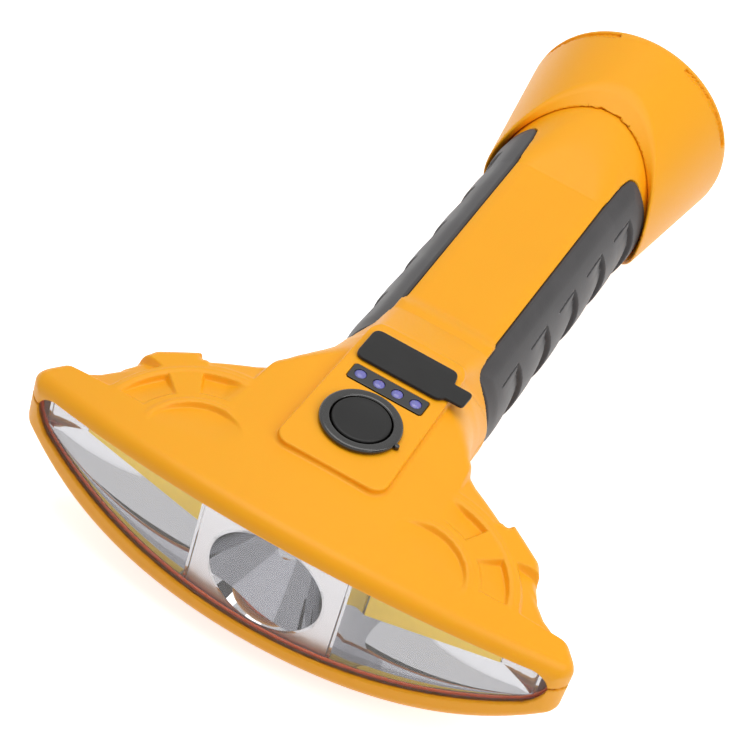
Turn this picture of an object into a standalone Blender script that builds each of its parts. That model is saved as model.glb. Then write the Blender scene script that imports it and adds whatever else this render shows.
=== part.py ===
"""A rechargeable hand torch with a wide bow-shaped head, modelled piece by piece.

Everything is laid out round the button: the deck that carries it is the plane z = 0, the head is at -Y, the
tail at +Y, and +Z is up. One empty moves the whole torch so that its box stands on the origin.
"""

import math

import bmesh
import bpy
from mathutils import Matrix, Vector

MM = 0.001

# Clearances and cuts
GAP = 0.3 * MM
OVERRUN = 1.0 * MM
SAME_POINT = 0.0005 * MM
FAR_CUT = 60.0 * MM

# Battery cell, which the handle is built round
CELL_RADIUS = 9.2 * MM
CELL_LENGTH = 65.0 * MM
CELL_Y = 52.0 * MM

# Handle
HANDLE_WALL = 3.3 * MM
HANDLE_ROOM = 8.0 * MM
HANDLE_RADIUS = CELL_RADIUS + HANDLE_ROOM + HANDLE_WALL
AXIS_Z = -22.0 * MM
STRIP_Z = -5.5 * MM
NECK_Y = 33.0 * MM
FACET_END_Y = 46.0 * MM
HANDLE_TAIL = 30.0 * MM
HANDLE_END_Y = CELL_Y + CELL_LENGTH + HANDLE_TAIL
FLARE_RUN = 29.0 * MM
FLARE_START_Y = HANDLE_END_Y - FLARE_RUN
HANDLE_FLARE = 1.3 * MM
FLARE_RADIUS = HANDLE_RADIUS + HANDLE_FLARE
STRIP_END_GAP = 8.0 * MM
STRIP_END_Y = HANDLE_END_Y - STRIP_END_GAP

# Head
HALF_WIDTH = 72.5 * MM
HEAD_END_Y = -20.7 * MM
CENTRE_TOP_Z = -1.5 * MM
CENTRE_BOTTOM_Z = -45.3 * MM
TOP_DROP = 12.1 * MM
BOTTOM_RISE = 5.1 * MM
BOTTOM_RISE_END = 11.3 * MM
TOP_WALL = 2.2 * MM
BOTTOM_WALL = 1.7 * MM
EDGE_RADIUS = 3.0 * MM
BOW = 15.7 * MM
LEAN = 3.0 * MM

# Lip round the opening
LIP_Y = -41.8 * MM
LIP_DEPTH = 4.2 * MM
LIP_SIDE = 3.8 * MM
LIP_TOP = 4.7 * MM
LIP_BOTTOM = 6.5 * MM
LIP_CORNER = 5.2 * MM
LIP_TOP_DROP = 10.6 * MM
LIP_BOTTOM_RISE = 10.6 * MM
LIP_BOTTOM_RISE_END = 5.6 * MM
THROAT = 0.6 * MM

# Deck panel with the controls
PANEL_FRONT_Y = -17.0 * MM
PANEL_BACK_Y = 33.4 * MM
PANEL_HALF_FRONT = 14.6 * MM
PANEL_HALF_BACK = 13.0 * MM
PANEL_CORNER = 4.0 * MM
PANEL_SKIRT = 8.0 * MM
PANEL_BACK_RUN = 13.3 * MM
PANEL_ROOF = 3.8 * MM

# Wheel relief on each side of the head
HUB_X = 29.8 * MM
HUB_Y = -26.5 * MM
HUB_RADIUS = 11.6 * MM
POCKET_INNER = 15.6 * MM
POCKET_OUTER = 22.6 * MM
POCKET_DEPTH = 1.1 * MM
SLOPE_INNER = 25.6 * MM
SLOPE_DEPTH = 3.6 * MM
TAB_INNER = 26.0 * MM
TAB_OUTER = 33.2 * MM
TAB_LOW_Z = -19.0 * MM
TAB_SINK = 0.2 * MM
POCKET_SECTORS_DEG = ((67.5, 96.0), (15.0, 47.5))
SLOPE_SECTORS_DEG = ((70.0, 98.0), (14.0, 45.0))
TAB_SECTOR_DEG = (47.5, 67.5)

# Lens and seal
LENS_THICKNESS = 1.2 * MM
LENS_LAP = 0.7 * MM
SEAL_THICKNESS = 0.5 * MM
SEAL_WIDTH = 1.0 * MM

# Reflectors
REFLECTOR_WALL = 0.7 * MM
SPOT_Z = -23.6 * MM
SPOT_RADIUS = 14.8 * MM
SPOT_HOLE = 4.2 * MM
SPOT_DEPTH = 18.0 * MM
PLATE_HALF_X = 18.9 * MM
PLATE_TOP_Z = -5.4 * MM
PLATE_BOTTOM_Z = -39.4 * MM
TROUGH_END_MARGIN = 7.0 * MM
TROUGH_END_X = HALF_WIDTH - TROUGH_END_MARGIN
SLOT_START_MARGIN = 2.6 * MM
SLOT_START_X = PLATE_HALF_X + SLOT_START_MARGIN
SLOT_END_MARGIN = 9.5 * MM
SLOT_END_X = TROUGH_END_X - SLOT_END_MARGIN
SLOT_Z = -24.0 * MM
SLOT_HEIGHT = 10.0 * MM
SLOT_Y = -23.0 * MM
STRIP_BOARD = 1.2 * MM
STRIP_BOARD_MARGIN = 1.0 * MM
PHOSPHOR = 0.7 * MM

# Spot light
LED_SIDE = 3.6 * MM
LED_BASE = 1.2 * MM
LED_DOME = 1.6 * MM
STAR_RADIUS = 9.5 * MM
STAR_THICKNESS = 1.6 * MM
SINK_RADIUS = 9.5 * MM
SINK_LENGTH = 9.0 * MM
SINK_GROOVE = 3.0 * MM
SINK_GROOVE_WIDTH = 1.2 * MM
SINK_GROOVES = 3
SADDLE_HALF = 5.0 * MM
SADDLE_LENGTH = 6.0 * MM

# Button and its switch
BUTTON_RADIUS = 7.3 * MM
BUTTON_TOP_Z = 1.7 * MM
BUTTON_TRAVEL = 1.0 * MM
BUTTON_DISH = 0.3 * MM
SKIRT_RADIUS = 8.3 * MM
SKIRT_HEIGHT = 0.8 * MM
RING_RADIUS = 10.2 * MM
RING_HEIGHT = 1.3 * MM
RING_WALL = 0.8 * MM
RING_SPIGOT = 4.1 * MM
RING_LUG = 1.4 * MM
RING_LUG_ANGLE_DEG = -16.0
PLUNGER_RADIUS = 1.7 * MM
PLUNGER_LENGTH = 1.6 * MM
SWITCH_SIDE = 6.2 * MM

# Battery lights and their window
WINDOW_Y = 14.8 * MM
WINDOW_HALF_X = 10.1 * MM
WINDOW_HALF_Y = 2.7 * MM
WINDOW_CORNER = 0.8 * MM
WINDOW_THICKNESS = 0.8 * MM
WINDOW_PROUD = 0.1 * MM
LIGHT_PITCH = 5.0 * MM
LIGHT_RADIUS = 1.5 * MM
LIGHT_COUNT = 4

# Port cover and sockets
COVER_Y = 24.6 * MM
COVER_HALF_X = 11.6 * MM
COVER_HALF_Y = 5.7 * MM
COVER_CORNER = 2.4 * MM
COVER_THICKNESS = 1.0 * MM
COVER_TAB_HALF = 2.9 * MM
COVER_TAB_REACH = 5.6 * MM
COVER_TAB_CORNER = 1.2 * MM
COVER_TAB_SHIFT = -1.3 * MM
COVER_PLUG_DEPTH = 0.6 * MM
COVER_PLUG_MARGIN = 2.6 * MM
OUTPUT_X = -3.2 * MM
OUTPUT_HALF_X = 6.8 * MM
OUTPUT_HALF_Y = 2.9 * MM
CHARGE_X = 7.6 * MM
CHARGE_HALF_X = 2.9 * MM
CHARGE_HALF_Y = 1.5 * MM
SOCKET_WALL = 0.4 * MM
SOCKET_FLOOR = 1.0 * MM
TONGUE_HALF = 0.5 * MM
TONGUE_END_GAP = 0.9 * MM
SOCKET_TOP_Z = -1.1 * MM

# Control board
BOARD_TOP_Z = -9.0 * MM
BOARD_THICKNESS = 1.6 * MM
BOARD_HALF_X = 10.6 * MM
BOARD_FRONT_Y = -13.0 * MM
BOARD_BACK_Y = 31.5 * MM
BOARD_SCREW_Y = -9.6 * MM
BOARD_SCREW_X = 7.6 * MM
BOARD_POST = 2.0 * MM
BOARD_SCREW_RADIUS = 0.8 * MM
BOARD_SCREW_HEAD = 1.7 * MM
BOARD_SCREW_HEAD_HEIGHT = 1.1 * MM
BOARD_SCREW_LENGTH = 4.6 * MM

# Battery
CELL_NUB_RADIUS = 2.8 * MM
CELL_NUB = 1.0 * MM
CRADLE_WALL = 1.3 * MM
CRADLE_END = 1.5 * MM
CRADLE_FOOT_HALF = 5.5 * MM
CONTACT_HALF = 4.5 * MM
CONTACT_THICKNESS = 0.4 * MM
SPRING_RADIUS = 3.6 * MM
SPRING_WIRE = 0.4 * MM
SPRING_ROOM = 5.0 * MM
SPRING_TURNS = 3

# Case screws
CASE_BOSS = 3.0 * MM
CASE_SCREW_RADIUS = 1.3 * MM
CASE_SCREW_HEAD = 2.4 * MM
CASE_SCREW_HEAD_HEIGHT = 1.8 * MM
CASE_SCREW_LENGTH = 13.0 * MM
CASE_SCREW_GRIP = 5.0 * MM
HEAD_SCREW_X = 33.0 * MM
HEAD_SCREW_Y = -5.5 * MM
FRONT_SCREW_Y = 42.0 * MM
REAR_SCREW_INSET = 15.0 * MM
REAR_SCREW_Y = HANDLE_END_Y - REAR_SCREW_INSET

# Grips
GRIP_START_Y = 40.6 * MM
GRIP_END_INSET = 12.6 * MM
GRIP_END_Y = HANDLE_END_Y - GRIP_END_INSET
GRIP_ROUND = 7.0 * MM
GRIP_TOP_DEG = 39.5
GRIP_BOTTOM_DEG = 146.0
GRIP_BED = 1.6 * MM
GRIP_PROUD = 0.1 * MM
GRIP_LUMP = 0.6 * MM
GRIP_LUMP_Y = 52.8 * MM
GRIP_LUMP_PITCH = 17.0 * MM
GRIP_LUMPS = 5

# Tail cup and end cap
CUP_CREASE_STEP = 4.8 * MM
CUP_CREASE_Y = HANDLE_END_Y + CUP_CREASE_STEP
CUP_CREASE_SWEEP = 23.5 * MM
CUP_SEAM_STEP = 2.4 * MM
CUP_SEAM_Y = HANDLE_END_Y - CUP_SEAM_STEP
CUP_SEAM_SWEEP = 9.7 * MM
CUP_RADIUS_STEP = 1.06 * MM
CUP_RADIUS_START = FLARE_RADIUS + CUP_RADIUS_STEP
CUP_START_STEP = 19.0 * MM
CUP_START_Y = HANDLE_END_Y - CUP_START_STEP
CUP_FLARE = 6.7 * MM
CUP_RADIUS = FLARE_RADIUS + CUP_FLARE
CUP_WIDEST_STEP = 24.0 * MM
CUP_WIDEST_Y = HANDLE_END_Y + CUP_WIDEST_STEP
RIM_RUN = 3.5 * MM
TAIL_Y = CUP_WIDEST_Y + RIM_RUN
CUP_RIM = 2.4 * MM
CUP_WALL = 2.0 * MM
CUP_GROOVE_WIDTH = 1.6 * MM
CUP_GROOVE_DEPTH = 0.8 * MM
CUP_GROOVE_STEP = 0.1 * MM
CUP_GROOVE_Y = CUP_WIDEST_Y - CUP_GROOVE_STEP
CUP_GROOVE_DEG = 50.0
CUP_GROOVES = 4
CAP_STEP = 0.2 * MM
CAP_RADIUS = FLARE_RADIUS + CAP_STEP
CAP_THICKNESS = 2.5 * MM
CAP_SPIGOT = 4.0 * MM
CAP_SPIGOT_WALL = 1.6 * MM
LEDGE = 1.4 * MM

# Leads
LEAD_RADIUS = 0.7 * MM

# Steps of the curved surfaces, and the angle at which shading breaks
TOP_STEPS = 6
CORNER_STEPS = 4
ROLL_STEPS = 3
TURN_STEPS = 24
FINE_STEPS = 12
ARC_STEPS = 8
CUP_STEPS = 28
SHARP_DEG = 35.0

# Head outline from the neck to the widest point. Each row holds the share of the way from the neck to the
# head's end, the share of the way from the handle's half-width to the head's, the share of the bow that
# the ring takes, and the share of the way from the edge radius to the handle's radius that its corner takes.
HEAD_RING_SHARES = (
    (0.112, 0.015, 0.0, 0.90),
    (0.205, 0.035, 0.0, 0.76),
    (0.298, 0.060, 0.0, 0.56),
    (0.391, 0.094, 0.0, 0.36),
    (0.447, 0.125, 0.0, 0.20),
    (0.499, 0.169, 0.0, 0.08),
    (0.540, 0.231, 0.1, 0.0),
    (0.577, 0.308, 0.2, 0.0),
    (0.609, 0.394, 0.3, 0.0),
    (0.642, 0.481, 0.4, 0.0),
    (0.689, 0.560, 0.5, 0.0),
    (0.778, 0.663, 0.6, 0.0),
    (0.853, 0.765, 0.75, 0.0),
    (0.890, 0.881, 0.78, 0.04),
    (0.955, 0.948, 0.92, 0.08),
)
EDGE_LEAN_SHARE = 0.4
FACET_SHARES = (0.0, 0.28, 0.5, 0.75, 1.0)
FLARE_SHARES = (0.0, 0.35, 0.6, 0.8, 1.0)
TROUGH_SHARES = (0.0, 0.2, 0.4, 0.6, 0.8, 0.93, 1.0)
TROUGH_MID_SHARE = 0.5
TROUGH_BULGE_SHARE = 0.78
BOWL_DEPTH_SHARES = (0.15, 0.4, 0.7, 1.0)

FINISHES = {
    "orange_plastic": ((0.98, 0.45, 0.02), 0.4, 0.0),
    "rubber": ((0.06, 0.06, 0.065), 0.7, 0.0),
    "black_plastic": ((0.012, 0.011, 0.01), 0.25, 0.0),
    "clear_plastic": ((0.95, 0.95, 0.95), 0.05, 0.0),
    "chrome": ((0.85, 0.85, 0.86), 0.08, 1.0),
    "phosphor": ((0.92, 0.66, 0.07), 0.6, 0.0),
    "light_blue_lens": ((0.15, 0.14, 0.45), 0.3, 0.0),
    "aluminium": ((0.75, 0.75, 0.77), 0.35, 1.0),
    "steel": ((0.6, 0.6, 0.62), 0.3, 1.0),
    "board": ((0.02, 0.16, 0.06), 0.5, 0.0),
    "cell_wrap": ((0.05, 0.2, 0.55), 0.4, 0.0),
    "grey_plastic": ((0.3, 0.3, 0.3), 0.6, 0.0),
    "lead": ((0.5, 0.03, 0.03), 0.5, 0.0),
}


def clear_scene():
    for old in list(bpy.data.objects):
        bpy.data.objects.remove(old, do_unlink=True)


def material(name):
    found = bpy.data.materials.get(name)
    if found:
        return found
    colour, roughness, metallic = FINISHES[name]
    made = bpy.data.materials.new(name)
    made.use_nodes = True
    shader = made.node_tree.nodes["Principled BSDF"]
    shader.inputs["Base Color"].default_value = (*colour, 1.0)
    shader.inputs["Roughness"].default_value = roughness
    shader.inputs["Metallic"].default_value = metallic
    return made


def solid(name, points, faces, finish):
    """One closed mesh object from points and faces, with its faces turned outwards."""
    bm = bmesh.new()
    corners = [bm.verts.new(point) for point in points]
    for face in faces:
        bm.faces.new([corners[index] for index in face])
    bmesh.ops.remove_doubles(bm, verts=bm.verts, dist=SAME_POINT)
    bmesh.ops.dissolve_degenerate(bm, edges=bm.edges, dist=SAME_POINT)
    bmesh.ops.triangulate(bm, faces=bm.faces)
    bmesh.ops.recalc_face_normals(bm, faces=bm.faces)
    mesh = bpy.data.meshes.new(name)
    bm.to_mesh(mesh)
    bm.free()
    obj = bpy.data.objects.new(name, mesh)
    obj.data.materials.append(material(finish))
    bpy.context.scene.collection.objects.link(obj)
    return obj


def slab(name, front, back, finish, ring=False):
    """A solid between two grids of points. With ring set, each row is a closed loop."""
    rows = len(front)
    columns = len(front[0])
    points = [point for grid in (front, back) for row in grid for point in row]
    half = rows * columns

    def at(side, row, column):
        return side * half + row * columns + column % columns

    faces = []
    spans = columns if ring else columns - 1
    for row in range(rows - 1):
        for column in range(spans):
            quad = [(row, column), (row, column + 1), (row + 1, column + 1), (row + 1, column)]
            faces.append([at(0, *corner) for corner in quad])
            faces.append([at(1, *corner) for corner in reversed(quad)])
        if not ring:
            for column in (0, columns - 1):
                wall = [(0, row), (0, row + 1), (1, row + 1), (1, row)]
                faces.append([at(which, place, column) for which, place in wall])
    for row in (0, rows - 1):
        for column in range(spans):
            wall = [(0, column), (0, column + 1), (1, column + 1), (1, column)]
            faces.append([at(which, row, place) for which, place in wall])
    return solid(name, points, faces, finish)


def level(height, x, y):
    """A height that may be a number or a rule of x and y."""
    return height(x, y) if callable(height) else height


def prism(name, outline, low, high, finish):
    """An upright prism on an outline of (x, y) points."""
    count = len(outline)
    points = [(x, y, level(low, x, y)) for x, y in outline]
    points += [(x, y, level(high, x, y)) for x, y in outline]
    faces = [list(range(count)), list(range(count, 2 * count))]
    for index in range(count):
        after = (index + 1) % count
        faces.append([index, after, count + after, count + index])
    return solid(name, points, faces, finish)


def rounded_box(half_x, half_y, corner, centre_x, centre_y, steps=4):
    """A rectangle's outline with round corners."""
    outline = []
    for index, (side_x, side_y) in enumerate(((1, 1), (-1, 1), (-1, -1), (1, -1))):
        for step in range(steps + 1):
            angle = math.pi / 2 * (index + step / steps)
            x = side_x * (half_x - corner) + corner * math.cos(angle)
            y = side_y * (half_y - corner) + corner * math.sin(angle)
            outline.append((centre_x + x, centre_y + y))
    return outline


def box(name, low, high, finish):
    outline = [(low[0], low[1]), (high[0], low[1]), (high[0], high[1]), (low[0], high[1])]
    return prism(name, outline, low[2], high[2], finish)


def turned(name, profile, finish, origin, axis="Z", steps=TURN_STEPS):
    """A turned solid. The profile is a closed loop of (radius, height) points."""
    turn = {"Z": Matrix.Identity(3), "Y": Matrix.Rotation(-math.pi / 2, 3, "X")}[axis]
    rings = []
    for radius, height in profile:
        ring = []
        for step in range(steps):
            angle = 2 * math.pi * step / steps
            place = Vector((radius * math.cos(angle), radius * math.sin(angle), height))
            ring.append(turn @ place + Vector(origin))
        rings.append(ring)
    points = [point for ring in rings for point in ring]
    faces = []
    for row in range(len(rings)):
        after = (row + 1) % len(rings)
        if profile[row][0] == 0 and profile[after][0] == 0:
            continue
        for step in range(steps):
            right = (step + 1) % steps
            here = row * steps
            there = after * steps
            faces.append([here + step, here + right, there + right, there + step])
    return solid(name, points, faces, finish)


def cylinder(name, radius, low, high, finish, centre, axis="Z", steps=FINE_STEPS):
    profile = [(0, low), (radius, low), (radius, high), (0, high)]
    origin = (centre[0], centre[1], 0) if axis == "Z" else (centre[0], 0, centre[1])
    return turned(name, profile, finish, origin, axis, steps)


def carve(target, tool, operation="DIFFERENCE"):
    """Cuts the tool from the target, or joins it on, and removes the tool.

    The many cuts in the housings leave open edges with the exact solver, so the manifold one is used.
    """
    modifier = target.modifiers.new("carve", "BOOLEAN")
    modifier.operation = operation
    modifier.solver = "MANIFOLD"
    modifier.object = tool
    bpy.context.view_layer.update()
    evaluated = target.evaluated_get(bpy.context.evaluated_depsgraph_get())
    mesh = bpy.data.meshes.new_from_object(evaluated)
    target.modifiers.remove(modifier)
    target.data = mesh
    bpy.data.objects.remove(tool, do_unlink=True)


def spread(start, end, count):
    return [start + (end - start) * step / count for step in range(count + 1)]


# Rings of the housing


def ring_normals(edge):
    """Unit outward normals of an outline of (half-width, y) points that runs from tail to head."""
    normals = []
    for index, point in enumerate(edge):
        before = edge[max(index - 1, 0)]
        after = edge[min(index + 1, len(edge) - 1)]
        run = Vector((after[0] - before[0], after[1] - before[1])).normalized()
        normals.append(Vector((-run.y, run.x)))
    return normals


def handle_ring(y):
    """Size of the handle's outer ring at y: half-width, top height."""
    flare = min(1, max(0, (y - FLARE_START_Y) / (HANDLE_END_Y - FLARE_START_Y)))
    radius = HANDLE_RADIUS + (FLARE_RADIUS - HANDLE_RADIUS) * flare
    facet = min(1, max(0, (y - NECK_Y) / (FACET_END_Y - NECK_Y)))
    top = min(CENTRE_TOP_Z, STRIP_Z * facet)
    rise = min(1, max(0, (y - FLARE_START_Y) / (STRIP_END_Y - FLARE_START_Y)))
    top += (AXIS_Z + radius - top) * rise * rise
    return radius, min(top, AXIS_Z + radius)


def make_ring(edge_y, width, corner, bow, top=CENTRE_TOP_Z, drop=TOP_DROP, bottom=CENTRE_BOTTOM_Z,
              rises=(BOTTOM_RISE, BOTTOM_RISE_END), centre_y=None, top_angle=None, bottom_angle=None):
    """All that one ring of the housing needs. Front rings bow back at the sides and lean back at the foot."""
    if centre_y is None:
        centre_y = edge_y - bow * (BOW * (width / HALF_WIDTH) ** 2 + LEAN * EDGE_LEAN_SHARE)
    across = (width - corner) / HALF_WIDTH
    if top_angle is None:
        top_angle = math.pi / 2 - math.atan(2 * drop * across / HALF_WIDTH)
    if bottom_angle is None:
        slope = (2 * rises[0] * across + 4 * rises[1] * across**3) / HALF_WIDTH
        bottom_angle = math.pi / 2 - math.atan(slope)
    return {"y": centre_y, "width": width, "corner": corner, "bow": bow, "top": top, "drop": drop,
            "bottom": bottom, "rises": rises, "top_angle": top_angle, "bottom_angle": bottom_angle}


def top_z(ring, x):
    return ring["top"] - ring["drop"] * (x / HALF_WIDTH) ** 2


def bottom_z(ring, x):
    share = (x / HALF_WIDTH) ** 2
    return ring["bottom"] + ring["rises"][0] * share + ring["rises"][1] * share**2


def corner_centres(ring):
    """Heights of the centres of the ring's upper and lower corner arcs."""
    corner = ring["corner"]
    start = ring["width"] - corner + corner * math.cos(ring["top_angle"])
    upper = top_z(ring, start) - corner * math.sin(ring["top_angle"])
    start = ring["width"] - corner + corner * math.cos(ring["bottom_angle"])
    lower = bottom_z(ring, start) + corner * math.sin(ring["bottom_angle"])
    return upper, lower


def front_y(centre_y, bow, x, z):
    lean = LEAN * (CENTRE_TOP_Z - LIP_TOP - z) / (CENTRE_TOP_Z - LIP_TOP - CENTRE_BOTTOM_Z - LIP_BOTTOM)
    return centre_y + bow * (BOW * (x / HALF_WIDTH) ** 2 + lean)


def half_row(ring, upper, part_z):
    """Points from the right parting line, over the top or the bottom, to the left parting line."""
    corner = ring["corner"]
    centres = corner_centres(ring)
    centre_z = centres[0] if upper else centres[1]
    end_angle = ring["top_angle"] if upper else ring["bottom_angle"]
    side = 1 if upper else -1
    inner_x = ring["width"] - corner
    right = [(ring["width"], part_z)]
    for angle in spread(0, end_angle, CORNER_STEPS):
        z = centre_z + side * corner * math.sin(angle)
        right.append((inner_x + corner * math.cos(angle), max(z, part_z) if upper else min(z, part_z)))
    surface = top_z if upper else bottom_z
    right += [(x, surface(ring, x)) for x in spread(right[-1][0], 0, TOP_STEPS)[1:]]
    row = right + [(-x, z) for x, z in reversed(right[:-1])]
    return [(x, front_y(ring["y"], ring["bow"], x, z), z) for x, z in row]


def circle_angles(radius, top):
    return math.asin(min(1, (top - AXIS_Z) / radius)), math.pi / 2


def handle_rings(inset):
    """Rings of the handle from the tail to the neck, inset by the wall or not at all."""
    stations = [FLARE_START_Y + (HANDLE_END_Y - FLARE_START_Y) * share for share in reversed(FLARE_SHARES)]
    stations += [NECK_Y + (FACET_END_Y - NECK_Y) * share for share in reversed(FACET_SHARES)]
    rings = []
    for y in stations:
        radius, top = handle_ring(y)
        roof = TOP_WALL if inset else 0
        radius -= inset
        top = min(top - roof, AXIS_Z + radius)
        angles = circle_angles(radius, top)
        rings.append(make_ring(y, radius, radius, 0, top, 0, AXIS_Z - radius, (0, 0), y, *angles))
    return rings


def head_rings(inset):
    """Rings of the head from the neck to its widest point."""
    edge = []
    for along, out, bow, corner in HEAD_RING_SHARES:
        y = NECK_Y + (HEAD_END_Y - NECK_Y) * along
        width = HANDLE_RADIUS + (HALF_WIDTH - HANDLE_RADIUS) * out
        edge.append((width, y, bow, corner))
    normals = ring_normals([(width, y) for width, y, _, _ in edge])
    rings = []
    for (width, y, bow, blend), normal in zip(edge, normals):
        wall = TOP_WALL + (HANDLE_WALL - TOP_WALL) * blend if inset else 0
        corner = EDGE_RADIUS + (HANDLE_RADIUS - EDGE_RADIUS) * blend - wall / 2
        drop = TOP_DROP * (1 - blend)
        bottom = CENTRE_BOTTOM_Z + (AXIS_Z - HANDLE_RADIUS - CENTRE_BOTTOM_Z) * blend
        roof = TOP_WALL if inset else 0
        floor = BOTTOM_WALL + (HANDLE_WALL - BOTTOM_WALL) * blend if inset else 0
        rises = (BOTTOM_RISE * (1 - blend), BOTTOM_RISE_END * (1 - blend))
        place = y - wall * normal.y
        rings.append(make_ring(place, width - wall * normal.x, corner, bow, CENTRE_TOP_Z - roof, drop,
                               bottom + floor, rises))
    return rings


def lip_ring(turn, centre_y, shrink=0):
    """A ring of the rounded lip: turn runs from 0 on the outside to 1 at the edge of the opening."""
    drop = TOP_DROP + (LIP_TOP_DROP - TOP_DROP) * turn
    rises = (BOTTOM_RISE + (LIP_BOTTOM_RISE - BOTTOM_RISE) * turn,
             BOTTOM_RISE_END + (LIP_BOTTOM_RISE_END - BOTTOM_RISE_END) * turn)
    width = HALF_WIDTH - LIP_SIDE * turn - shrink
    top = CENTRE_TOP_Z - LIP_TOP * turn - shrink
    bottom = CENTRE_BOTTOM_Z + LIP_BOTTOM * turn + shrink
    return make_ring(0, width, LIP_CORNER, 1, top, drop, bottom, rises, centre_y)


def cavity_ring(centre_y):
    """The widest inner ring, just behind the lip."""
    return make_ring(0, HALF_WIDTH - TOP_WALL, LIP_CORNER, 1, CENTRE_TOP_Z - TOP_WALL, TOP_DROP,
                     CENTRE_BOTTOM_Z + BOTTOM_WALL, (BOTTOM_RISE, BOTTOM_RISE_END), centre_y)


def throat_y():
    """The middle of the lens seat behind the lip."""
    return LIP_Y + THROAT


def housing_rings():
    """Outer and inner rings, in pairs, from the tail to the lip."""
    outer = handle_rings(0) + head_rings(0)
    inner = handle_rings(HANDLE_WALL) + head_rings(True)
    for angle in spread(0, math.pi / 2, ROLL_STEPS):
        outer.append(lip_ring(1 - math.cos(angle), LIP_Y + LIP_DEPTH * (1 - math.sin(angle))))
    inner.append(cavity_ring(throat_y() + LIP_DEPTH))
    inner.append(lip_ring(1, throat_y(), -LENS_LAP - GAP))
    inner.append(lip_ring(1, throat_y()))
    inner.append(lip_ring(1, throat_y() - THROAT / 2))
    return outer, inner


def housing_half(name, upper):
    outer, inner = housing_rings()
    fronts = []
    backs = []
    shift = GAP / 2 if upper else -GAP / 2
    for out, within in zip(outer, inner):
        part_z = sum(corner_centres(out)) / 2 + shift
        fronts.append(half_row(out, upper, part_z))
        backs.append(half_row(within, upper, part_z))
    return slab(name, fronts, backs, "orange_plastic")


def surface_z(x, y):
    """Height of the head's top surface."""
    if y > NECK_Y:
        return handle_ring(y)[1]
    return CENTRE_TOP_Z - TOP_DROP * (x / HALF_WIDTH) ** 2


def floor_z(x, y):
    """Height of the underside."""
    if y > NECK_Y:
        return AXIS_Z - handle_ring(y)[0]
    share = (x / HALF_WIDTH) ** 2
    return CENTRE_BOTTOM_Z + BOTTOM_RISE * share + BOTTOM_RISE_END * share**2


# Upper housing


def panel_outline(inset):
    """The deck panel seen from above: a rectangle that narrows towards the neck."""
    length = PANEL_BACK_Y - PANEL_FRONT_Y - 2 * inset
    middle = (PANEL_BACK_Y + PANEL_FRONT_Y) / 2
    outline = rounded_box(PANEL_HALF_FRONT - inset, length / 2, PANEL_CORNER, 0, middle)
    narrowed = []
    for x, y in outline:
        back = (y - PANEL_FRONT_Y) / (PANEL_BACK_Y - PANEL_FRONT_Y)
        narrowed.append((x * (1 + (PANEL_HALF_BACK / PANEL_HALF_FRONT - 1) * back), y))
    return narrowed


def panel_block():
    """The raised panel, whose back end runs down to the strip on the handle."""
    top = panel_outline(0)
    middle = (PANEL_BACK_Y + PANEL_FRONT_Y) / 2
    points = [(x, y + (PANEL_BACK_RUN if y > middle else 0), -PANEL_SKIRT) for x, y in top]
    points += [(x, y, 0) for x, y in top]
    count = len(top)
    faces = [list(range(count)), list(range(count, 2 * count))]
    faces += [[i, (i + 1) % count, count + (i + 1) % count, count + i] for i in range(count)]
    return solid("panel", points, faces, "orange_plastic")


def sector(side, inner, outer, degrees, steps=6):
    """A ring sector round the hub of the wheel relief, seen from above."""
    start, end = (math.radians(angle) for angle in degrees)
    arc = spread(start, end, steps)
    outline = [(inner * math.cos(a), inner * math.sin(a)) for a in arc]
    outline += [(outer * math.cos(a), outer * math.sin(a)) for a in reversed(arc)]
    return [(side * (HUB_X + x), HUB_Y + y) for x, y in outline]


def hub_distance(x, y):
    return math.hypot(abs(x) - HUB_X, y - HUB_Y)


def carve_wheel(housing, side):
    """The wheel relief on one side: hub, two pockets, the fall outside them, and the tab on the edge."""
    def hub_floor(x, y):
        depth = POCKET_DEPTH * (y - HUB_Y + HUB_RADIUS) / (2 * HUB_RADIUS)
        return surface_z(x, y) - depth + TAB_SINK

    def pocket_floor(x, y):
        return surface_z(x, y) - POCKET_DEPTH

    def slope_floor(x, y):
        return surface_z(x, y) - SLOPE_DEPTH * (hub_distance(x, y) - SLOPE_INNER) / (TAB_OUTER - SLOPE_INNER)

    def tab_top(x, y):
        return surface_z(x, y) - TAB_SINK

    steps = TURN_STEPS
    circle = [(side * (HUB_X + HUB_RADIUS * math.cos(2 * math.pi * i / steps)),
               HUB_Y + HUB_RADIUS * math.sin(2 * math.pi * i / steps)) for i in range(steps)]
    carve(housing, prism("tab", sector(side, TAB_INNER, TAB_OUTER, TAB_SECTOR_DEG), TAB_LOW_Z, tab_top,
                         "orange_plastic"), "UNION")
    carve(housing, prism("hub", circle, hub_floor, FAR_CUT, "orange_plastic"))
    for degrees in POCKET_SECTORS_DEG:
        outline = sector(side, POCKET_INNER, POCKET_OUTER, degrees)
        carve(housing, prism("pocket", outline, pocket_floor, FAR_CUT, "orange_plastic"))
    for degrees in SLOPE_SECTORS_DEG:
        outline = sector(side, SLOPE_INNER, TAB_OUTER + OVERRUN, degrees)
        carve(housing, prism("slope", outline, slope_floor, FAR_CUT, "orange_plastic"))


def boss_places():
    head = [(side * HEAD_SCREW_X, HEAD_SCREW_Y) for side in (-1, 1)]
    return head + [(0, FRONT_SCREW_Y), (0, REAR_SCREW_Y)]


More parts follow.
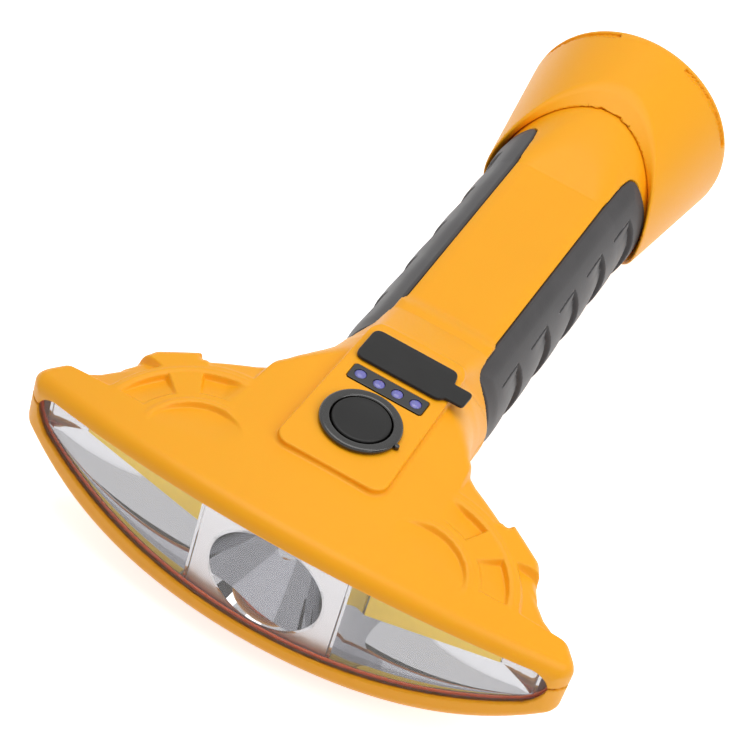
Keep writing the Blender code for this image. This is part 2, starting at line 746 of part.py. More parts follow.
def carve_controls(housing):
    """Holes for the button, the battery lights and the sockets."""
    hole = RING_RADIUS - RING_WALL
    below = -PANEL_ROOF - OVERRUN
    carve(housing, cylinder("hole", hole, below, OVERRUN, "orange_plastic", (0, 0), steps=TURN_STEPS))
    outline = rounded_box(WINDOW_HALF_X + GAP, WINDOW_HALF_Y + GAP, WINDOW_CORNER, 0, WINDOW_Y)
    ledge_z = WINDOW_PROUD - WINDOW_THICKNESS - GAP
    carve(housing, prism("recess", outline, ledge_z, OVERRUN, "orange_plastic"))
    slot_x = LIGHT_PITCH * (LIGHT_COUNT - 1) / 2 + LIGHT_RADIUS + GAP
    outline = rounded_box(slot_x, LIGHT_RADIUS + GAP, LIGHT_RADIUS, 0, WINDOW_Y)
    carve(housing, prism("slot", outline, below, OVERRUN, "orange_plastic"))
    ports = [(OUTPUT_X, OUTPUT_HALF_X, OUTPUT_HALF_Y), (CHARGE_X, CHARGE_HALF_X, CHARGE_HALF_Y)]
    for x, half_x, half_y in ports:
        outline = rounded_box(half_x + GAP, half_y + GAP, GAP, x, COVER_Y)
        carve(housing, prism("port", outline, below, OVERRUN, "orange_plastic"))
    outline = rounded_box(COVER_HALF_X - COVER_PLUG_MARGIN + GAP, COVER_HALF_Y - COVER_PLUG_MARGIN + GAP,
                          COVER_CORNER / 2, 0, COVER_Y)
    carve(housing, prism("plug_bed", outline, -COVER_PLUG_DEPTH - GAP, OVERRUN, "orange_plastic"))


def upper_housing():
    housing = housing_half("upper_housing", True)
    carve(housing, panel_block(), "UNION")
    core = prism("core", panel_outline(TOP_WALL), -PANEL_SKIRT - OVERRUN, -PANEL_ROOF, "orange_plastic")
    carve(housing, core)
    for side in (-1, 1):
        carve_wheel(housing, side)
    for x, y in boss_places():
        top = surface_z(x, y) - TOP_WALL / 2
        carve(housing, cylinder("boss", CASE_BOSS, AXIS_Z + GAP, top, "orange_plastic", (x, y)), "UNION")
        pilot = CASE_SCREW_RADIUS + GAP
        depth = AXIS_Z + CASE_SCREW_GRIP + GAP
        carve(housing, cylinder("pilot", pilot, AXIS_Z - OVERRUN, depth, "orange_plastic", (x, y)))
    for side in (-1, 1):
        place = (side * BOARD_SCREW_X, BOARD_SCREW_Y)
        post = cylinder("post", BOARD_POST, BOARD_TOP_Z + GAP, -PANEL_ROOF + OVERRUN, "orange_plastic", place)
        carve(housing, post, "UNION")
        pilot = BOARD_SCREW_RADIUS + GAP
        top = BOARD_TOP_Z - BOARD_THICKNESS - GAP + BOARD_SCREW_LENGTH + GAP
        carve(housing, cylinder("pilot", pilot, BOARD_TOP_Z - OVERRUN, top, "orange_plastic", place))
    carve_controls(housing)
    carve_grip_beds(housing)
    return housing


# Lower housing


def head_seat_z():
    """Height at which every case screw's head is seated, so one length of screw serves all."""
    return AXIS_Z - GAP / 2 - (CASE_SCREW_LENGTH - CASE_SCREW_GRIP) + GAP


def lower_housing():
    housing = housing_half("lower_housing", False)
    for x, y in boss_places():
        low = floor_z(x, y) + BOTTOM_WALL / 2
        shank = CASE_SCREW_RADIUS + GAP
        head = CASE_SCREW_HEAD + GAP
        top = AXIS_Z - GAP
        carve(housing, cylinder("boss", head + BOTTOM_WALL, low, top, "orange_plastic", (x, y)), "UNION")
        carve(housing, cylinder("through", shank, -FAR_CUT, OVERRUN, "orange_plastic", (x, y)))
        carve(housing, cylinder("sink", head, -FAR_CUT, head_seat_z(), "orange_plastic", (x, y)))
    start = sink_start_y() + (SINK_LENGTH - SADDLE_LENGTH) / 2
    front = (-SADDLE_HALF, start, CENTRE_BOTTOM_Z + BOTTOM_WALL / 2)
    back = (SADDLE_HALF, start + SADDLE_LENGTH, SPOT_Z - SINK_RADIUS - GAP)
    carve(housing, box("saddle", front, back, "orange_plastic"), "UNION")
    carve_grip_beds(housing)
    return housing


def case_screw(number, x, y):
    seat = head_seat_z() - GAP
    tip = seat + CASE_SCREW_LENGTH - GAP
    profile = [(0, seat - CASE_SCREW_HEAD_HEIGHT), (CASE_SCREW_HEAD, seat - CASE_SCREW_HEAD_HEIGHT),
               (CASE_SCREW_HEAD, seat), (CASE_SCREW_RADIUS, seat), (CASE_SCREW_RADIUS, tip), (0, tip)]
    return turned(f"case_screw_{number}", profile, "steel", (x, y, 0), steps=FINE_STEPS)


# Grips


def grip_grid(side, radius, grow, columns=16, rows=4):
    """A patch of the handle's side from front to back, with round corners, at a radius of its own."""
    reach = HANDLE_RADIUS
    top = math.radians(GRIP_TOP_DEG) - grow / reach
    bottom = math.radians(GRIP_BOTTOM_DEG) + grow / reach
    start = GRIP_START_Y - grow
    end = GRIP_END_Y + grow
    grid = []
    for step in range(columns + 1):
        share = (1 - math.cos(math.pi * step / columns)) / 2
        y = start + (end - start) * share
        edge = min(y - start, end - y)
        pull = 0
        if edge < GRIP_ROUND:
            pull = (GRIP_ROUND - math.sqrt(GRIP_ROUND**2 - (GRIP_ROUND - edge) ** 2)) / reach
        reach_out = level(radius, y, 0)
        row = []
        for angle in spread(top + pull, bottom - pull, rows):
            row.append((side * reach_out * math.sin(angle), y, AXIS_Z + reach_out * math.cos(angle)))
        grid.append(row)
    return grid


def grip_surface(y, _):
    """The grip's outer radius, which swells between its grooves."""
    flare = handle_ring(y)[0] - HANDLE_RADIUS
    share = (y - GRIP_LUMP_Y) / GRIP_LUMP_PITCH
    lump = 0
    if -1 < share < GRIP_LUMPS - 1:
        lump = GRIP_LUMP * (1 - math.cos(2 * math.pi * share)) / 2
    return HANDLE_RADIUS + flare + GRIP_PROUD + lump


def grip(name, side):
    bed = HANDLE_RADIUS - GRIP_BED + GAP
    return slab(name, grip_grid(side, grip_surface, 0, 26), grip_grid(side, bed, 0, 26), "rubber")


def carve_grip_beds(housing):
    for side in (-1, 1):
        outside = grip_grid(side, HANDLE_RADIUS + HANDLE_WALL, GAP)
        inside = grip_grid(side, HANDLE_RADIUS - GRIP_BED, GAP)
        carve(housing, slab("bed", outside, inside, "rubber"))


# Tail


def cup_radius(y):
    """The cup flares evenly from its front edge to its widest ring."""
    share = (y - CUP_START_Y) / (CUP_WIDEST_Y - CUP_START_Y)
    return CUP_RADIUS_START + (CUP_RADIUS - CUP_RADIUS_START) * share


def cup_ring(radius, y, sweep=0):
    ring = []
    for step in range(CUP_STEPS):
        angle = 2 * math.pi * step / CUP_STEPS
        place = y - sweep * math.sin(angle) ** 2
        reach = level(radius, place, 0)
        ring.append((reach * math.sin(angle), place, AXIS_Z + reach * math.cos(angle)))
    return ring


def tail_cup():
    """The flared cup behind the handle. Its front edge sweeps forward at both sides."""
    def outside(y, _):
        return cup_radius(y)

    def inside(y, _):
        return max(handle_ring(y)[0] + GAP, cup_radius(y) - CUP_WALL if y > HANDLE_END_Y else 0)

    outer = [cup_ring(outside, CUP_CREASE_Y, CUP_CREASE_SWEEP)]
    outer += [cup_ring(outside, CUP_CREASE_Y + LEDGE + (CUP_WIDEST_Y - CUP_CREASE_Y - LEDGE) * share,
                       CUP_CREASE_SWEEP * (1 - share) ** 2) for share in (0.25, 0.5, 0.75)]
    outer.append(cup_ring(CUP_RADIUS, CUP_WIDEST_Y))
    outer.append(cup_ring(CUP_RADIUS - CUP_RIM * (1 - math.cos(math.pi / 4)),
                          CUP_WIDEST_Y + (TAIL_Y - CUP_WIDEST_Y) * math.sin(math.pi / 4)))
    outer.append(cup_ring(CUP_RADIUS - CUP_RIM, TAIL_Y))
    seat_y = TAIL_Y - CAP_THICKNESS - GAP
    inner = [cup_ring(lambda y, _: handle_ring(y)[0] + GAP, CUP_SEAM_Y, CUP_SEAM_SWEEP),
             cup_ring(FLARE_RADIUS + GAP, HANDLE_END_Y),
             cup_ring(inside, HANDLE_END_Y + LEDGE),
             cup_ring(CUP_RADIUS - CUP_WALL - CUP_WALL, CUP_WIDEST_Y - 2 * LEDGE),
             cup_ring(CAP_RADIUS - LEDGE, seat_y - LEDGE),
             cup_ring(CAP_RADIUS - LEDGE, seat_y),
             cup_ring(CAP_RADIUS + GAP, seat_y)]
    outer.append(cup_ring(CAP_RADIUS + GAP, TAIL_Y))
    inner.append(cup_ring(CAP_RADIUS + GAP, TAIL_Y - GAP))
    cup = slab("tail_cup", outer, inner, "orange_plastic", ring=True)
    half = math.radians(CUP_GROOVE_DEG) / 2
    for index in range(CUP_GROOVES):
        centre = 2 * math.pi * (index + 1 / 2) / CUP_GROOVES
        grids = []
        for radius in (CUP_RADIUS + OVERRUN, CUP_RADIUS - CUP_GROOVE_DEPTH):
            arc = [(radius * math.sin(a), AXIS_Z + radius * math.cos(a))
                   for a in spread(centre - half, centre + half, ARC_STEPS)]
            sides = (CUP_GROOVE_Y - CUP_GROOVE_WIDTH / 2, CUP_GROOVE_Y + CUP_GROOVE_WIDTH / 2)
            grids.append([[(x, y, z) for x, z in arc] for y in sides])
        carve(cup, slab("groove", *grids, "orange_plastic"))
    return cup


def tail_end_cap():
    """The flat end face, with a short spigot that holds it in the cup."""
    face = TAIL_Y
    back = TAIL_Y - CAP_THICKNESS
    spigot = CAP_RADIUS - LEDGE - GAP
    profile = [(0, back), (spigot - CAP_SPIGOT_WALL, back), (spigot - CAP_SPIGOT_WALL, back - CAP_SPIGOT),
               (spigot, back - CAP_SPIGOT), (spigot, back), (CAP_RADIUS, back), (CAP_RADIUS, face), (0, face)]
    return turned("tail_end_cap", profile, "orange_plastic", (0, 0, AXIS_Z), "Y")


# Lens, seal and reflectors


def lens_rows(grow, centre_y):
    ring = lip_ring(1, centre_y, -grow)
    part_z = sum(corner_centres(ring)) / 2
    return [half_row(ring, True, part_z), half_row(ring, False, part_z)]


def lens_y():
    return throat_y() + GAP


def lens():
    return slab("lens", lens_rows(LENS_LAP, lens_y()), lens_rows(LENS_LAP, lens_y() + LENS_THICKNESS),
                "clear_plastic")


def reflector_y():
    """The middle of the plane in which all reflector edges stand."""
    return lens_y() + LENS_THICKNESS + SEAL_THICKNESS + 2 * GAP


def lens_seal():
    """A thin ring between the lens and the reflectors."""
    rows = []
    for grow in (LENS_LAP, LENS_LAP - SEAL_WIDTH):
        for centre_y in (lens_y() + LENS_THICKNESS + GAP, lens_y() + LENS_THICKNESS + GAP + SEAL_THICKNESS):
            upper, lower = lens_rows(grow, centre_y)
            rows.append(upper + list(reversed(lower[1:-1])))
    return slab("lens_seal", rows[:2], rows[2:], "rubber", ring=True)


def reflector_point(x, z):
    return (x, front_y(reflector_y(), 1, x, z), z)


def spot_reflector():
    """A flat plate with a deep bowl, in one moulding."""
    half_z = (PLATE_TOP_Z - PLATE_BOTTOM_Z) / 2
    middle = (PLATE_TOP_Z + PLATE_BOTTOM_Z) / 2
    steps = TURN_STEPS + 8
    angles = [2 * math.pi * (step + 1 / 2) / steps for step in range(steps)]

    def plate_ring(back):
        ring = []
        for angle in angles:
            reach = min(PLATE_HALF_X / abs(math.cos(angle)), half_z / abs(math.sin(angle)))
            x, y, z = reflector_point(reach * math.cos(angle), middle + reach * math.sin(angle))
            ring.append((x, y + back, z))
        return ring

    def mouth_ring(radius, back):
        ring = []
        for angle in angles:
            x, y, z = reflector_point(radius * math.cos(angle), SPOT_Z + radius * math.sin(angle))
            ring.append((x, y + back, z))
        return ring

    def bowl_ring(share, wall):
        floor = (SPOT_HOLE / SPOT_RADIUS) ** 2
        radius = SPOT_RADIUS * math.sqrt(1 - share * (1 - floor)) + wall
        y = reflector_point(0, SPOT_Z)[1] + SPOT_DEPTH * share
        return [(radius * math.cos(a), y, SPOT_Z + radius * math.sin(a)) for a in angles]

    wall = REFLECTOR_WALL
    front = [plate_ring(0), mouth_ring(SPOT_RADIUS, 0)] + [bowl_ring(share, 0) for share in BOWL_DEPTH_SHARES]
    back = [plate_ring(wall), mouth_ring(SPOT_RADIUS + wall, wall)]
    back += [bowl_ring(share, wall) for share in BOWL_DEPTH_SHARES]
    return slab("spot_reflector", front, back, "chrome", ring=True)


def spot_back_y():
    return reflector_point(0, SPOT_Z)[1] + SPOT_DEPTH


def trough_ring(side, depth, wall):
    """A ring of the trough: depth runs from 0 at the mouth to 1 at the slot for the light strip."""
    opening = lip_ring(1, 0)
    start_x = PLATE_HALF_X + GAP + REFLECTOR_WALL
    upper = []
    lower = []
    squeeze = depth if depth in (0, 1) else 1 - TROUGH_BULGE_SHARE
    for share in TROUGH_SHARES:
        mouth_x = start_x + (TROUGH_END_X - start_x) * share
        slot_x = SLOT_START_X + (SLOT_END_X - SLOT_START_X) * share
        x = mouth_x + (slot_x - mouth_x) * squeeze + wall * (2 * share - 1)
        for row, surface, sign in ((upper, top_z, 1), (lower, bottom_z, -1)):
            mouth_z = surface(opening, mouth_x)
            slot_z = SLOT_Z + sign * SLOT_HEIGHT / 2
            z = mouth_z + (slot_z - mouth_z) * squeeze + sign * wall
            mouth_y = front_y(reflector_y(), 1, mouth_x, mouth_z)
            row.append((side * x, mouth_y + (SLOT_Y - mouth_y) * depth, z))
    return upper + list(reversed(lower))


def flood_reflector(name, side):
    depths = (0, TROUGH_MID_SHARE, 1)
    inner = [trough_ring(side, depth, 0) for depth in depths]
    outer = [trough_ring(side, depth, REFLECTOR_WALL) for depth in depths]
    return slab(name, inner, outer, "chrome", ring=True)


def side_box(name, side, low, high, finish):
    """A box on one side of the torch, given as it stands on the right."""
    xs = sorted((side * low[0], side * high[0]))
    return box(name, (xs[0], low[1], low[2]), (xs[1], high[1], high[2]), finish)


def light_strip(side, word):
    """The chip strip behind each trough: a metal board and the phosphor on it."""
    half = SLOT_HEIGHT / 2
    margin = STRIP_BOARD_MARGIN
    side_box(f"strip_phosphor_{word}", side, (SLOT_START_X + GAP, SLOT_Y - PHOSPHOR, SLOT_Z - half + GAP),
             (SLOT_END_X - GAP, SLOT_Y, SLOT_Z + half - GAP), "phosphor")
    front = SLOT_Y + GAP
    side_box(f"strip_board_{word}", side, (SLOT_START_X - margin, front, SLOT_Z - half - margin),
             (SLOT_END_X + margin, front + STRIP_BOARD, SLOT_Z + half + margin), "aluminium")


def star_y():
    return spot_back_y() + GAP


def sink_start_y():
    return star_y() + STAR_THICKNESS + GAP


def spot_light():
    """The chip, its round board and the finned sink behind it."""
    half = LED_SIDE / 2
    base = star_y() - GAP
    led = box("spot_led", (-half, base - LED_BASE, SPOT_Z - half), (half, base, SPOT_Z + half), "phosphor")
    dome = [(0, base - LED_BASE - LED_DOME)]
    dome += [(LED_DOME * math.sin(a), base - LED_BASE - LED_DOME * math.cos(a))
             for a in spread(math.pi / 8, math.pi / 2, 3)]
    dome += [(LED_DOME, base - LED_BASE / 2), (0, base - LED_BASE / 2)]
    carve(led, turned("dome", dome, "phosphor", (0, 0, SPOT_Z), "Y", 16), "UNION")
    cylinder("spot_board", STAR_RADIUS, star_y(), star_y() + STAR_THICKNESS, "aluminium", (0, SPOT_Z), "Y",
             TURN_STEPS)
    start = sink_start_y()
    end = start + SINK_LENGTH
    profile = [(0, start), (SINK_RADIUS, start)]
    pitch = SINK_LENGTH / (SINK_GROOVES + 1)
    for index in range(SINK_GROOVES):
        middle = start + pitch * (index + 1)
        floor = SINK_RADIUS - SINK_GROOVE
        for place, radius in ((-1, SINK_RADIUS), (-1, floor), (1, floor), (1, SINK_RADIUS)):
            profile.append((radius, middle + place * SINK_GROOVE_WIDTH / 2))
    profile += [(SINK_RADIUS, end), (0, end)]
    turned("heat_sink", profile, "aluminium", (0, 0, SPOT_Z), "Y", 16)


# Controls


def button_foot_z():
    """The underside of the cap, just below the ring's spigot."""
    return -RING_SPIGOT - GAP - SKIRT_HEIGHT


def button():
    """The cap, with a dished top and a skirt that keeps it under the ring, and the plunger that it pushes."""
    top = BUTTON_TOP_Z
    foot = button_foot_z()
    profile = [(0, foot), (SKIRT_RADIUS, foot), (SKIRT_RADIUS, foot + SKIRT_HEIGHT),
               (BUTTON_RADIUS, foot + SKIRT_HEIGHT), (BUTTON_RADIUS, top - BUTTON_DISH),
               (BUTTON_RADIUS - BUTTON_DISH, top), (BUTTON_RADIUS - 2 * BUTTON_DISH, top - BUTTON_DISH / 2),
               (0, top - BUTTON_DISH)]
    turned("button_cap", profile, "black_plastic", (0, 0, 0))
    head = foot - GAP
    cylinder("switch_plunger", PLUNGER_RADIUS, head - PLUNGER_LENGTH, head, "black_plastic", (0, 0))


def button_ring():
    """The rounded ring round the cap, with a spigot down through the deck and one small lug."""
    bore = BUTTON_RADIUS + GAP
    spigot = RING_RADIUS - RING_WALL - GAP
    profile = [(bore, -RING_SPIGOT), (spigot, -RING_SPIGOT), (spigot, GAP), (RING_RADIUS, GAP)]
    middle = (RING_RADIUS + bore) / 2
    half = (RING_RADIUS - bore) / 2
    for angle in spread(0, math.pi, 4):
        height = GAP + RING_HEIGHT / 2 + (RING_HEIGHT / 2) * math.sin(angle)
        profile.append((middle + half * math.cos(angle), height))
    ring = turned("button_ring", profile, "black_plastic", (0, 0, 0))
    angle = math.radians(RING_LUG_ANGLE_DEG)
    place = (RING_RADIUS * math.cos(angle), RING_RADIUS * math.sin(angle))
    lug = cylinder("lug", RING_LUG / 2, GAP, GAP + RING_HEIGHT / 2, "black_plastic", place)
    carve(ring, lug, "UNION")


def switch():
    """The switch body on the board, with a pocket for the plunger."""
    top = button_foot_z() - BUTTON_TRAVEL - GAP
    low = BOARD_TOP_Z + GAP
    half = SWITCH_SIDE / 2
    body = box("switch_body", (-half, -half, low), (half, half, top), "black_plastic")
    pocket = PLUNGER_RADIUS + GAP
    carve(body, cylinder("pocket", pocket, low + GAP, top + OVERRUN, "black_plastic", (0, 0)))


def window():
    outline = rounded_box(WINDOW_HALF_X, WINDOW_HALF_Y, WINDOW_CORNER, 0, WINDOW_Y)
    strip = prism("light_window", outline, WINDOW_PROUD - WINDOW_THICKNESS, WINDOW_PROUD, "black_plastic")
    for index in range(LIGHT_COUNT):
        place = (LIGHT_PITCH * (index - (LIGHT_COUNT - 1) / 2), WINDOW_Y)
        hole = LIGHT_RADIUS + GAP / 2
        name = f"battery_light_{index + 1}"
        carve(strip, cylinder("hole", hole, -OVERRUN, OVERRUN, "black_plastic", place))
        cylinder(name, LIGHT_RADIUS, BOARD_TOP_Z + GAP, WINDOW_PROUD, "light_blue_lens", place)


def socket(name, x, half_x, half_y):
    """A metal shell that stands on the board, open at the top, with a tongue inside."""
    low = BOARD_TOP_Z + GAP

    def block(block_name, reach_x, reach_y, foot, top):
        return box(block_name, (x - reach_x, COVER_Y - reach_y, foot), (x + reach_x, COVER_Y + reach_y, top),
                   "steel")

    shell = block(name, half_x, half_y, low, SOCKET_TOP_Z)
    inner_x = half_x - SOCKET_WALL
    carve(shell, block("room", inner_x, half_y - SOCKET_WALL, low + SOCKET_FLOOR, OVERRUN))
    tongue_x = inner_x - TONGUE_END_GAP
    tongue = block("tongue", tongue_x, TONGUE_HALF, low + SOCKET_FLOOR / 2, SOCKET_TOP_Z - SOCKET_WALL)
    carve(shell, tongue, "UNION")


def port_cover(frame):
    """The rubber flap over the sockets, with its origin on the hinge line at its left end."""
    low = GAP
    high = GAP + COVER_THICKNESS
    outline = rounded_box(COVER_HALF_X, COVER_HALF_Y, COVER_CORNER, 0, COVER_Y, 6)
    flap = prism("port_cover", outline, low, high, "rubber")
    reach = (COVER_TAB_REACH + COVER_HALF_X - COVER_CORNER) / 2
    outline = rounded_box(reach, COVER_TAB_HALF, COVER_TAB_CORNER, COVER_HALF_X + COVER_TAB_REACH - reach,
                          COVER_Y + COVER_TAB_SHIFT)
    carve(flap, prism("tab", outline, low, high - GAP / 2, "rubber"), "UNION")
    plug_x = COVER_HALF_X - COVER_PLUG_MARGIN
    outline = rounded_box(plug_x, COVER_HALF_Y - COVER_PLUG_MARGIN, COVER_CORNER / 2, 0, COVER_Y)
    carve(flap, prism("plug", outline, -COVER_PLUG_DEPTH, low + GAP, "rubber"), "UNION")
    hinge = Vector((-COVER_HALF_X, COVER_Y, high))
    flap.data.transform(Matrix.Translation(-hinge))
    flap.location = hinge
    flap.parent = frame


def control_board():
    low = BOARD_TOP_Z - BOARD_THICKNESS
    front = (-BOARD_HALF_X, BOARD_FRONT_Y, low)
    board = box("control_board", front, (BOARD_HALF_X, BOARD_BACK_Y, BOARD_TOP_Z), "board")
    seat = low - GAP
    for index, side in enumerate((-1, 1)):
        place = (side * BOARD_SCREW_X, BOARD_SCREW_Y)
        hole = BOARD_SCREW_RADIUS + GAP
        carve(board, cylinder("hole", hole, low - OVERRUN, BOARD_TOP_Z + OVERRUN, "board", place))
        head = seat - BOARD_SCREW_HEAD_HEIGHT
        tip = seat + BOARD_SCREW_LENGTH - GAP
        profile = [(0, head), (BOARD_SCREW_HEAD, head), (BOARD_SCREW_HEAD, seat), (BOARD_SCREW_RADIUS, seat),
                   (BOARD_SCREW_RADIUS, tip), (0, tip)]
        turned(f"board_screw_{index + 1}", profile, "steel", (*place, 0), steps=FINE_STEPS)


# Battery


def battery():
    """The cell in its cradle, with a contact plate in front and a spring behind."""
    end = CELL_Y + CELL_LENGTH
    profile = [(0, CELL_Y - CELL_NUB), (CELL_NUB_RADIUS, CELL_Y - CELL_NUB), (CELL_NUB_RADIUS, CELL_Y),
               (CELL_RADIUS, CELL_Y), (CELL_RADIUS, end), (0, end)]
    turned("battery_cell", profile, "cell_wrap", (0, 0, AXIS_Z), "Y")
    contact_y = CELL_Y - CELL_NUB - GAP - CONTACT_THICKNESS
    box("front_contact", (-CONTACT_HALF, contact_y, AXIS_Z - CONTACT_HALF),
        (CONTACT_HALF, contact_y + CONTACT_THICKNESS, AXIS_Z + CONTACT_HALF), "steel")
    room = CELL_RADIUS + GAP
    half = room + CRADLE_WALL
    start = contact_y - GAP - CRADLE_END
    stop = end + SPRING_ROOM + CRADLE_END
    drop = math.sqrt((HANDLE_RADIUS - HANDLE_WALL) ** 2 - CRADLE_FOOT_HALF**2) - GAP
    foot_half = CRADLE_FOOT_HALF
    grey = "grey_plastic"
    cradle = box("battery_cradle", (-half, start, AXIS_Z - half), (half, stop, AXIS_Z + CONTACT_HALF), grey)
    foot = box("foot", (-foot_half, start, AXIS_Z - drop), (foot_half, stop, AXIS_Z - room), grey)
    carve(cradle, foot, "UNION")
    bed_start = contact_y - GAP
    bed_end = stop - CRADLE_END
    carve(cradle, cylinder("bed", room, bed_start, bed_end, grey, (0, AXIS_Z), "Y", TURN_STEPS))
    carve(cradle, box("mouth", (-room, bed_start, AXIS_Z), (room, bed_end, OVERRUN), grey))
    spring(end + GAP + SPRING_WIRE, bed_end - GAP - SPRING_WIRE)


def spring(start, end):
    """A coil of wire, made as one tube."""
    steps = 10
    sides = 5
    count = steps * SPRING_TURNS
    rings = []
    for index in range(count + 1):
        angle = 2 * math.pi * index / steps
        centre = Vector((SPRING_RADIUS * math.cos(angle), start + (end - start) * index / count,
                         AXIS_Z + SPRING_RADIUS * math.sin(angle)))
        out = Vector((math.cos(angle), 0, math.sin(angle)))
        along = Vector((0, 1, 0))
        rings.append([centre + SPRING_WIRE * (math.cos(t) * out + math.sin(t) * along)
                      for t in (2 * math.pi * s / sides for s in range(sides))])
    tube("rear_spring", rings, "steel")


def tube(name, rings, finish):
    """A closed tube through rings of points."""
    sides = len(rings[0])
    points = [point for ring in rings for point in ring]
    faces = [list(range(sides)), list(range(len(points) - sides, len(points)))]
    for row in range(len(rings) - 1):
        for side in range(sides):
            right = (side + 1) % sides
            faces.append([row * sides + side, row * sides + right, (row + 1) * sides + right,
                          (row + 1) * sides + side])
    return solid(name, points, faces, finish)


def lead(name, points, steps=7, sides=6):
    """A short lead inside the case, on a smooth curve through its points."""
    start, middle, end = (Vector(point) for point in points)
    rings = []
    for share in spread(0, 1, steps):
        centre = start * (1 - share) ** 2 + middle * 2 * share * (1 - share) + end * share**2
        run = ((middle - start) * (1 - share) + (end - middle) * share).normalized()
        across = run.cross(Vector((0, 0, 1))).normalized()
        over = run.cross(across)
        rings.append([centre + LEAD_RADIUS * (math.cos(t) * across + math.sin(t) * over)
                      for t in (2 * math.pi * s / sides for s in range(sides))])
    return tube(name, rings, "lead")


def leads():
    """Leads from the control board to the lights and the battery."""
    below = BOARD_TOP_Z - BOARD_THICKNESS - GAP - LEAD_RADIUS
    strip_back = SLOT_Y + GAP + STRIP_BOARD + GAP + LEAD_RADIUS
    for side, word in ((-1, "left"), (1, "right")):
        start = (side * (SLOT_START_X + SLOT_HEIGHT), strip_back, SLOT_Z)
        bend = (side * (SLOT_START_X + SLOT_HEIGHT), strip_back + SLOT_HEIGHT, below)
        end = (side * BOARD_HALF_X / 2, strip_back + 2 * SLOT_HEIGHT, below)
        lead(f"lead_{word}", (start, bend, end))
    start = sink_start_y() + SINK_LENGTH + GAP
    end = start + SLOT_HEIGHT
    lead("lead_spot", ((0, start, SPOT_Z), (0, end, SPOT_Z), (0, end, below)))
    start = CELL_Y - CELL_NUB - CONTACT_THICKNESS - 2 * GAP - CRADLE_END - GAP
    end = BOARD_BACK_Y - SLOT_HEIGHT
    x = CONTACT_HALF
    lead("lead_battery", ((x, start, AXIS_Z), (x, BOARD_BACK_Y, AXIS_Z), (x, end, below)))


def shade_round():
    for obj in bpy.data.objects:
        if obj.type == "MESH":
            obj.data.shade_smooth()
            obj.data.set_sharp_from_angle(angle=math.radians(SHARP_DEG))


def main():
    clear_scene()
    frame = bpy.data.objects.new("torch_frame", None)
    frame.location = (0, -(LIP_Y + TAIL_Y) / 2, CUP_RADIUS - AXIS_Z)
    bpy.context.scene.collection.objects.link(frame)
    upper_housing()
    lower_housing()
    for index, (x, y) in enumerate(boss_places()):
        case_screw(index + 1, x, y)
    tail_cup()
    tail_end_cap()
    grip("grip_left", -1)
    grip("grip_right", 1)
    lens()
    lens_seal()
    spot_reflector()
    for side, word in ((-1, "left"), (1, "right")):
        flood_reflector(f"flood_reflector_{word}", side)
        light_strip(side, word)
    spot_light()
    button()
    button_ring()
    switch()
    window()
    socket("output_socket", OUTPUT_X, OUTPUT_HALF_X, OUTPUT_HALF_Y)
    socket("charge_socket", CHARGE_X, CHARGE_HALF_X, CHARGE_HALF_Y)
    port_cover(frame)
    control_board()
    battery()
    leads()
    for obj in bpy.data.objects:
        if obj is not frame and obj.parent is None:
            obj.parent = frame
    shade_round()


main()
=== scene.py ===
"""Looks of a hand torch with a wide bow-shaped head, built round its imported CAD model.

The moulded pieces are written as rules in millimetres that are below zero inside the piece. A rule is
sampled on a grid, and its zero surface becomes the mesh. The millimetre frame has its origin on the deck
panel under the middle of the push button, with the head towards -Y and the tail towards +Y.
"""

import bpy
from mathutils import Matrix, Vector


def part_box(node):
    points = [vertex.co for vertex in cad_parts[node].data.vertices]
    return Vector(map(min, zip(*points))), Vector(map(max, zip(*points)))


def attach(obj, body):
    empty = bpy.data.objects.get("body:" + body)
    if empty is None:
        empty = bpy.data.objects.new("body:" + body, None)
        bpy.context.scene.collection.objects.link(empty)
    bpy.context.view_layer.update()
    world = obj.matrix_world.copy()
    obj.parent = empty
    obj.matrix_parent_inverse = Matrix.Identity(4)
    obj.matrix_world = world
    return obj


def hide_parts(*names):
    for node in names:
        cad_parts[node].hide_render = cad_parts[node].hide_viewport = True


bl_info = {
    "name": "Hand torch looks",
    "version": (1, 0, 0),
    "blender": (4, 5, 0),
    "location": "3D View > Sidebar > Torch",
    "description": "Dresses the packed hand torch with moulded pieces, optics, rubber and a studio",
    "category": "Object",
}

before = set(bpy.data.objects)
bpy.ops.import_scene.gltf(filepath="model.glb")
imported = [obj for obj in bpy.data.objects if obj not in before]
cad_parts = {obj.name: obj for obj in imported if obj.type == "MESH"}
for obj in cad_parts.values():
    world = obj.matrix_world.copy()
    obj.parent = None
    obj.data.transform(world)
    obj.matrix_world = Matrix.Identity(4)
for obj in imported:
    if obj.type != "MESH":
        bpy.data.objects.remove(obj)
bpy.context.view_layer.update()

import math

import bpy
import numpy as np
from bpy.props import FloatProperty, PointerProperty
from mathutils import Matrix, Vector

MM = 0.001

# Meshing: the step of a fine grid in millimetres, and a number too small to matter
FINE_CELL = 0.42
TINY = 1e-12

# Handle, in millimetres
HANDLE_RADIUS = 20.5
AXIS_Z = -22.0
STRIP_Z = -5.5
STRIP_EDGE = 1.6
STRIP_RISE = 0.25
FACET_START_Y = 33.4
FACET_RUN = 13.0
FLARE_START_Y = 118.0
FLARE_RADIUS = 21.8
HANDLE_START_Y = 26.0
HANDLE_END_Y = 147.0

